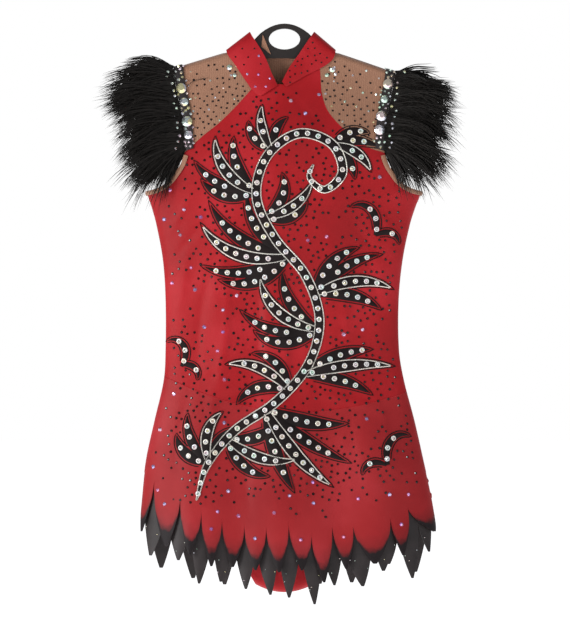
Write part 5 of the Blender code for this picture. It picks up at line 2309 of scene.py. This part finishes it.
@dataclass
class Vine:
    """The appliqued vine on the front: ribbons, their outline, silver cords and ring sequins."""

    wardrobe: Wardrobe
    ribbon_rise: float = 0.75
    ribbon_lift: float = 0.3
    ribbon_foot: float = -0.15
    layer_step: float = 0.12
    outline_gap: float = 1.9
    outline_radius: float = 0.66
    outline_lift: float = 0.25
    clear_by: float = 0.4
    cord_radius: float = 0.42
    cord_pitch: float = 3.6
    cord_lift: float = 1.0
    sequin_step: float = 12.6
    sequin_gap: float = 8.6
    sequin_half: float = 2.6

    def __post_init__(self) -> None:
        """Works out the courses of the stem and of every leaf."""
        self.stem = stem_course()
        fronds = [frond for fan in FANS for frond in fan.fronds()] + list(SPRIGS)
        self.leaves = [frond_course(frond) for frond in fronds]
        self.corded = [leaf for frond, leaf in zip(fronds, self.leaves) if frond.corded]

    def nearest(self, places: Array, besides: Course | None = None) -> Array:
        """How far places are from the nearest ribbon.

        Args:
            places: Rows of x and z.
            besides: A ribbon that doesn't count.

        Returns:
            Each place's distance from the ribbon's edge, below 0 inside it.
        """
        others = [course for course in [self.stem] + self.leaves if course is not besides]
        lines = np.concatenate([course.line for course in others])
        halves = np.concatenate([course.half for course in others])
        away = np.linalg.norm(places[:, None] - lines[None], axis=-1) - halves[None]
        return away.min(axis=1)

    def ribbons(self) -> Piece:
        """The black cloth of the vine.

        Returns:
            The piece.
        """
        bm, area = bmesh.new(), 0.0
        share = np.linspace(-1, 1, 7)
        for n, course in enumerate([self.stem] + self.leaves):
            aside = to_the_right(course.line)[:, None] * (course.half[:, None] * share)[..., None]
            place = course.line[:, None] + aside
            rise = self.ribbon_rise * (1 - share**4)[None, :] * np.ones((len(place), 1))
            outer = on_front(place, self.layer_step * (n % 4) + self.ribbon_lift + rise)
            joined(bm, between_grids(outer, on_front(place, np.full(place.shape[:2], self.ribbon_foot))))
            area += outer_area(outer)
        return declared(sewn(bm, "vine_ribbons", self.wardrobe.applique))

    def outline(self) -> Piece:
        """A thin black line sewn round every leaf, a little off its edge.

        Returns:
            The piece.
        """
        bm = bmesh.new()
        for leaf in self.leaves:
            left, right = leaf.offset(-1.0, -self.outline_gap), leaf.offset(1.0, self.outline_gap)
            tip = leaf.line[-1:] + (leaf.line[-1] - leaf.line[-3]) * 1.2
            line = np.concatenate([left[4:], tip, right[4:][::-1]])
            for part in stretches(line, self.nearest(line, leaf) > self.clear_by):
                path = on_front(part, np.full(len(part), self.outline_lift))
                cord_into(bm, path, self.outline_radius, 4)
        return sewn(bm, "vine_outline", self.wardrobe.applique)

    def cords(self) -> Piece:
        """Two-ply silver cords along both edges of the stem and of some leaves.

        Returns:
            The piece.
        """
        bm, radius = bmesh.new(), self.cord_radius
        for course in [self.stem] + self.corded:
            for edge in (-1.0, 1.0):
                line = course.offset(edge, 0.1 * edge)
                runs = runs_along(line)
                fine = np.arange(0.0, runs[-1], self.cord_pitch / 7)
                place = places_along(line, runs, fine)
                aside = to_the_right(place)
                turn = 2 * math.pi * fine / self.cord_pitch
                for ply in (0.0, math.pi):
                    at = place + aside * (radius * np.cos(turn + ply))[:, None]
                    cord_into(bm, on_front(at, self.cord_lift + radius * np.sin(turn + ply)), radius, 4)
        return sewn(bm, "silver_cords", self.wardrobe.silver)

    def sequin_places(self) -> Array:
        """Where ring sequins go: along the middle of every ribbon that is wide enough, none too close.

        Returns:
            Rows of x and z.
        """
        rows = [self.stem.spaced(8.0, self.sequin_step)]
        for leaf in self.leaves:
            places = leaf.spaced(7.0, self.sequin_step)
            wide = (leaf.half > self.sequin_half).astype(float)
            at = 7.0 + self.sequin_step * np.arange(len(places))
            rows.append(places[np.interp(at, runs_along(leaf.line), wide) > 0.5])
        return spaced_apart(np.concatenate(rows), self.sequin_gap)

    def build(self) -> list[Piece]:
        """Builds the vine."""
        return [self.ribbons(), self.outline(), self.cords()]


# Stones at the corners of the collar: x, z and radius
CORNER_STONES = (
    (-63.0, -45.0, 3.4),
    (-57.0, -54.0, 2.4),
    (-54.5, -43.0, 2.0),
    (55.0, -47.5, 3.6),
    (48.5, -54.0, 2.4),
    (58.5, -53.0, 2.0),
)


@dataclass
class Sparkle:
    """All stones and sequins: on the vine, scattered on the red, on the mesh, the collar and the armholes."""

    wardrobe: Wardrobe
    vine: Vine
    rings: Spots = field(default_factory=Spots)
    stones: Spots = field(default_factory=Spots)
    jets: Spots = field(default_factory=Spots)
    auroras: Spots = field(default_factory=Spots)
    large: Spots = field(default_factory=Spots)
    yoke_neck: dict[Hand, float] = field(default_factory=lambda: {Hand.LEFT: 66.0, Hand.RIGHT: 60.0})
    collar_gap: dict[Hand, float] = field(default_factory=lambda: {Hand.LEFT: 9.5, Hand.RIGHT: 6.0})
    crowd: int = 200
    crowd_gap: float = 4.4
    at_roots: int = 13

    def inside_red(self, places: Array, margin: float) -> Array:
        """Which places lie on the red front.

        Args:
            places: Rows of x and z.
            margin: How far from its edges they have to be.

        Returns:
            True for each that does.
        """
        x, z = places.T
        seam = np.full(len(x), -60.0)
        for hand in Hand:
            line = sampled(YOKE_SEAM[hand], even(40))
            order = np.argsort(line[:, 0])
            height = np.interp(x, line[order, 0], line[order, 1])
            on = x < line[order[-1], 0] if hand is Hand.LEFT else x > line[order[0], 0]
            seam = np.where(on, height, seam)
        arm = sampled([(SEAM_X + 43 * share, height) for share, height in UNDERARM], even(30))
        low = np.interp(np.abs(x), arm[:, 0], arm[:, 1], left=0.0)
        top = np.minimum(seam, np.where(np.abs(x) > SEAM_X, low, 0.0)) - margin
        wide = (x > FIGURE.left(z) + margin) & (x < FIGURE.right(z) - margin)
        return (z < top) & wide & (z > -562 + 30 * (x / 160) ** 2)

    def scatter(self) -> None:
        """Black stones close round the vine, and sparse rainbow crystals over the rest."""
        rng = np.random.default_rng(SEED)
        places = np.stack([rng.uniform(-160, 165, 9000), rng.uniform(-560, -60, 9000)], axis=-1)
        places = places[self.inside_red(places, 8.0)]
        away = self.vine.nearest(places)
        likely = np.exp(-np.maximum(away - 5.0, 0) / 10.0)
        near = places[(away > 4.2) & (rng.random(len(places)) < likely)]
        jets = spaced_apart(near, 6.0)
        self.jets.add_front(jets, rng.uniform(1.5, 1.85, len(jets)))
        wide = away_from(spaced_apart(places[away > 5.0], 21.0), jets, 4.4)
        self.auroras.add_front(wide, rng.uniform(2.2, 2.7, len(wide)))

    def on_yoke(self, places: Array, hand: Hand) -> Array:
        """Which places lie on a front yoke.

        Args:
            places: Rows of x and z.
            hand: Left or right.

        Returns:
            True for each that does.
        """
        x, z = np.abs(places[:, 0]), places[:, 1]
        seam = sampled(YOKE_SEAM[hand], even(60))
        order = np.argsort(np.abs(seam[:, 0]))
        red = np.interp(x, np.abs(seam[order, 0]), seam[order, 1])
        neck = self.yoke_neck[hand]
        inner = np.interp(-z, (35, 45, 60, 75), (neck, neck - 8, neck - 16, neck - 26))
        outer = np.interp(-z, (50, 70, 94, 120, 144), (128, 124, 119, 115.5, 114.5)) - 13.0
        return (z > red + 3.0) & (x > inner) & (x < outer) & (z < FIGURE.shoulder(places[:, 0]) - 9.0)

    def on_mesh(self) -> None:
        """Black dots, denser towards the red, and clear stones on the mesh yokes."""
        rng = np.random.default_rng(SEED + 7)
        for hand in Hand:
            seam = sampled(YOKE_SEAM[hand], even(60))
            base = seam[rng.integers(2, 58, 900)]
            away = rng.exponential(17.0, 900) + 3.0
            angle = math.radians(42) * hand.value
            places = base + np.stack([np.sin(angle) * away, np.cos(angle) * away], axis=-1)
            places += rng.normal(0, 2.0, places.shape)
            dots = spaced_apart(places[self.on_yoke(places, hand)], 5.6)[:62]
            self.jets.add_front(dots, rng.uniform(1.2, 1.5, len(dots)))
            loose = np.stack([hand.value * rng.uniform(45, 118, 400), rng.uniform(-130, -40, 400)], axis=-1)
            loose = away_from(loose[self.on_yoke(loose, hand)], dots, 4.0)
            clear = spaced_apart(loose, 14.0)[:17]
            self.stones.add_front(clear, rng.uniform(1.2, 1.7, len(clear)))

    def on_vine(self) -> None:
        """Ring sequins along the vine, each with a stone in its middle."""
        rings = self.vine.sequin_places()
        self.rings.add_front(rings, 3.3, 1.25)
        self.stones.add_front(rings, 1.35, 1.6)

    def large_on_band(self, arm: Armhole) -> list[tuple[Array, float]]:
        """Places the large crystals on a band.

        Args:
            arm: The band's armhole.

        Returns:
            The place on the cloth under each, and its radius.
        """
        h, made = arm.hand.value, []
        for stone in LARGE_STONES[arm.hand]:
            drop = float(FIGURE.drop(np.array(h * 120.0), np.array(stone.z)))
            x, out = arm.at(np.array([-drop]))
            # The right band's crystals lean inwards down the band
            lean = 5.5 + (2.5 * drop / 122 if arm.hand is Hand.RIGHT else 0.0)
            centre = shell(x - h * lean, np.array([-drop]))[0]
            self.large.add(centre + out[0] * (LAYER_GAP + WALL + 0.4), out[0], stone.radius)
            made.append((centre, stone.radius))
        return made

    def on_armholes(self) -> None:
        """Large crystals on the bands, many small ones between them, and a few on the feathers' roots."""
        rng = np.random.default_rng(SEED + 3)
        for hand in Hand:
            arm = Armhole(hand)
            q = -np.sort(rng.uniform(4.0, arm.reach() - 3.0, self.crowd))
            x, outward = arm.at(q)
            inset = rng.uniform(0.5, 12.5, len(q))
            places = shell(x - hand.value * inset, q) + outward * (LAYER_GAP + WALL + 0.3)
            big = self.large_on_band(arm)
            kept: list[int] = []
            for n, place in enumerate(places):
                if any(np.linalg.norm(place - centre) < radius + 2.3 for centre, radius in big):
                    continue
                if all(np.linalg.norm(place - places[m]) > self.crowd_gap for m in kept):
                    kept.append(n)
            radius = np.where(inset[kept] < 11.0, rng.uniform(1.5, 2.2, len(kept)), 1.4)
            self.stones.add(places[kept], outward[kept], radius)
            q = rng.uniform(-2.0, 2.0, self.at_roots) - np.linspace(8.0, arm.reach() - 4.0, self.at_roots)
            x, outward = arm.at(q)
            away = rng.uniform(3.0, 10.0, len(q))
            foot = shell(x, q) + outward * (4.2 + 0.17 * away)[:, None]
            foot[:, 0] += hand.value * away
            self.stones.add(foot, outward, rng.uniform(1.5, 2.0, len(q)))

    def on_hem(self) -> None:
        """A rainbow crystal on every other tongue of the hem, and glints along its black points."""
        rng = np.random.default_rng(SEED + 11)
        skirt, forward = Skirt(self.wardrobe), np.array([0.0, -1.0, 0.0])
        upper, under = LAYERS[:2]
        for n, pair in enumerate(upper.pairs()):
            if n % 2 and n < len(upper.petals) - 1:
                middle = skirt.petal_grid(upper, pair, np.full((1, 1), 0.5), np.full((1, 1), 0.3))
                self.auroras.add(middle[0], forward, 2.4)
        for pair in under.pairs():
            down = rng.uniform(0.35, 0.85, (1, 3))
            glints = skirt.petal_grid(under, pair, np.array([[0.1, 0.9, 0.3]]), down)
            self.stones.add(glints[0], forward, 0.65)

    def on_collar(self) -> None:
        """Stones and dots on the standing collar, and the three at each of its corners."""
        for hand in Hand:
            collar = Collar(self.wardrobe, hand)
            grid = collar.grid(36, 12)
            rng = np.random.default_rng(SEED + len(collar.name))
            out = unit(np.cross(np.gradient(grid, axis=0), np.gradient(grid, axis=1)))
            out = out * np.sign(-out[..., 1:2] + 1e-9)
            cells = [(i, j) for i in range(2, 19) for j in range(2, 11)]
            rng.shuffle(cells)
            chosen: list[tuple[int, int]] = []
            for i, j in cells:
                if all(np.linalg.norm(grid[i, j] - grid[a, b]) > self.collar_gap[hand] for a, b in chosen):
                    chosen.append((i, j))
            for n, (i, j) in enumerate(chosen):
                rainbow = hand is Hand.LEFT and n % 2 == 0
                kind, radius = (self.auroras, 1.6) if rainbow else (self.jets, 1.15)
                kind.add(grid[i, j], out[i, j], radius)
        for x, z, radius in CORNER_STONES:
            self.large.add_front(np.array([[x, z]]), radius, 0.2)

    def build(self) -> list[Piece]:
        """Places every stone.

        Returns:
            One piece of each kind.
        """
        self.on_vine()
        self.scatter()
        self.on_mesh()
        self.on_armholes()
        self.on_hem()
        self.on_collar()
        w = self.wardrobe
        return [
            self.rings.build("ring_sequins", Gem.RING, w.sequin, 0.05, smooth=True),
            self.stones.build("clear_stones", Gem.ROUND, w.stone, 0.12),
            self.jets.build("jet_stones", Gem.DOT, w.jet, 0.08),
            self.auroras.build("rainbow_crystals", Gem.ROUND, w.aurora, 0.15),
            self.large.build("large_crystals", Gem.LARGE, w.stone, 0.05),
        ]


@dataclass(frozen=True)
class Lamp:
    """A soft square light: its place and size in metres, and its power in watts."""

    name: str
    place: tuple[float, float, float]
    size: float
    power: float


@dataclass
class Studio:
    """The pale floor, the soft lights and the camera, which looks straight at the front."""

    middle: tuple[float, float] = (0.6, -322.3)
    height: float = 710.7
    distance: float = 3.2
    lens: float = 85.0
    floor_z: float = -0.76
    paper_glow: float = 0.75
    room_light: float = 0.30
    room_tint: tuple[float, float, float, float] = (0.92, 0.94, 1.0, 1.0)
    lamps: tuple[Lamp, ...] = (
        Lamp("key", (-1.5, -1.1, -0.05), 0.6, 19.0),
        Lamp("fill", (1.6, -2.6, 0.4), 2.0, 7.0),
        Lamp("behind", (1.0, 2.2, 2.2), 1.8, 13.0),
    )

    def floor(self) -> None:
        """A wide pale floor below the hem."""
        bm = bmesh.new()
        bmesh.ops.create_grid(bm, x_segments=8, y_segments=8, size=6.0)
        bmesh.ops.translate(bm, vec=(0.0, 0.0, self.floor_z), verts=bm.verts)
        mesh = bpy.data.meshes.new("floor")
        bm.to_mesh(mesh)
        bm.free()
        paper = plain(PALE_FLOOR, 30.0, 0.0001, 0.01).material
        surface = paper.node_tree.nodes["Principled BSDF"]
        surface.inputs["Emission Color"].default_value = (1.0, 1.0, 1.0, 1.0)
        surface.inputs["Emission Strength"].default_value = self.paper_glow
        mesh.materials.append(paper)
        obj = bpy.data.objects.new("floor", mesh)
        bpy.context.scene.collection.objects.link(obj)

    def light(self, lamp: Lamp) -> None:
        """Sets up a light that looks at the garment.

        Args:
            lamp: The light.
        """
        data = bpy.data.lights.new(lamp.name, "AREA")
        data.size, data.energy = lamp.size, lamp.power
        obj = bpy.data.objects.new(lamp.name, data)
        obj.location = lamp.place
        aim = Vector((0.0, 0.0, -0.32)) - obj.location
        obj.rotation_euler = aim.to_track_quat("-Z", "Y").to_euler()
        bpy.context.scene.collection.objects.link(obj)

    def camera(self) -> None:
        """The camera, whose frame at the garment is as high as the photograph's."""
        data = bpy.data.cameras.new("camera")
        data.lens = self.lens
        data.sensor_fit = "VERTICAL"
        data.sensor_height = self.lens * self.height * MM / self.distance
        data.clip_end = 50.0
        obj = bpy.data.objects.new("camera", data)
        x, z = (value * MM for value in self.middle)
        obj.location = (x, -self.distance, z)
        obj.rotation_euler = (math.pi / 2, 0, 0)
        bpy.context.scene.collection.objects.link(obj)
        bpy.context.scene.camera = obj

    def surroundings(self) -> bpy.types.World:
        """A dim room light round the garment, in front of white paper.

        Returns:
            The world.
        """
        world = bpy.data.worlds.new("studio")
        world.use_nodes = True
        tree = world.node_tree
        room = tree.nodes["Background"]
        room.inputs["Color"].default_value = self.room_tint
        room.inputs["Strength"].default_value = self.room_light
        paper = add_node(tree, "ShaderNodeBackground", {"Color": (1.0, 1.0, 1.0, 1.0), "Strength": 1.0})
        seen = add_node(tree, "ShaderNodeLightPath").outputs["Is Camera Ray"]
        both = add_node(tree, "ShaderNodeMixShader", {"Fac": seen, 1: room.outputs[0], 2: paper.outputs[0]})
        tree.links.new(both.outputs[0], tree.nodes["World Output"].inputs["Surface"])
        return world

    def build(self) -> None:
        """Sets up the studio."""
        self.camera()
        self.floor()
        for lamp in self.lamps:
            self.light(lamp)
        bpy.context.scene.view_settings.view_transform = "Standard"
        bpy.context.scene.world = self.surroundings()


def main() -> None:
    """Builds every piece in order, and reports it."""
    logging.basicConfig(level=logging.INFO, format="%(name)s: %(message)s")
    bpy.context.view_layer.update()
    Studio().build()
    wardrobe = Wardrobe()
    vine = Vine(wardrobe)
    makers = [Cloth(wardrobe), Skirt(wardrobe), Brief(wardrobe)]
    makers += [Collar(wardrobe, hand) for hand in Hand]
    makers.append(CollarEnd(wardrobe))
    for hand in Hand:
        makers += [ArmTrim(wardrobe, hand), Feathers(wardrobe, hand)]
    makers += [Seams(wardrobe), Hanger(wardrobe), vine, Sparkle(wardrobe, vine)]
    for maker in makers:
        for piece in maker.build():
            log.info("%s: %d faces", piece.name, len(piece.data.polygons))


if __name__ == "__main__":
    main()
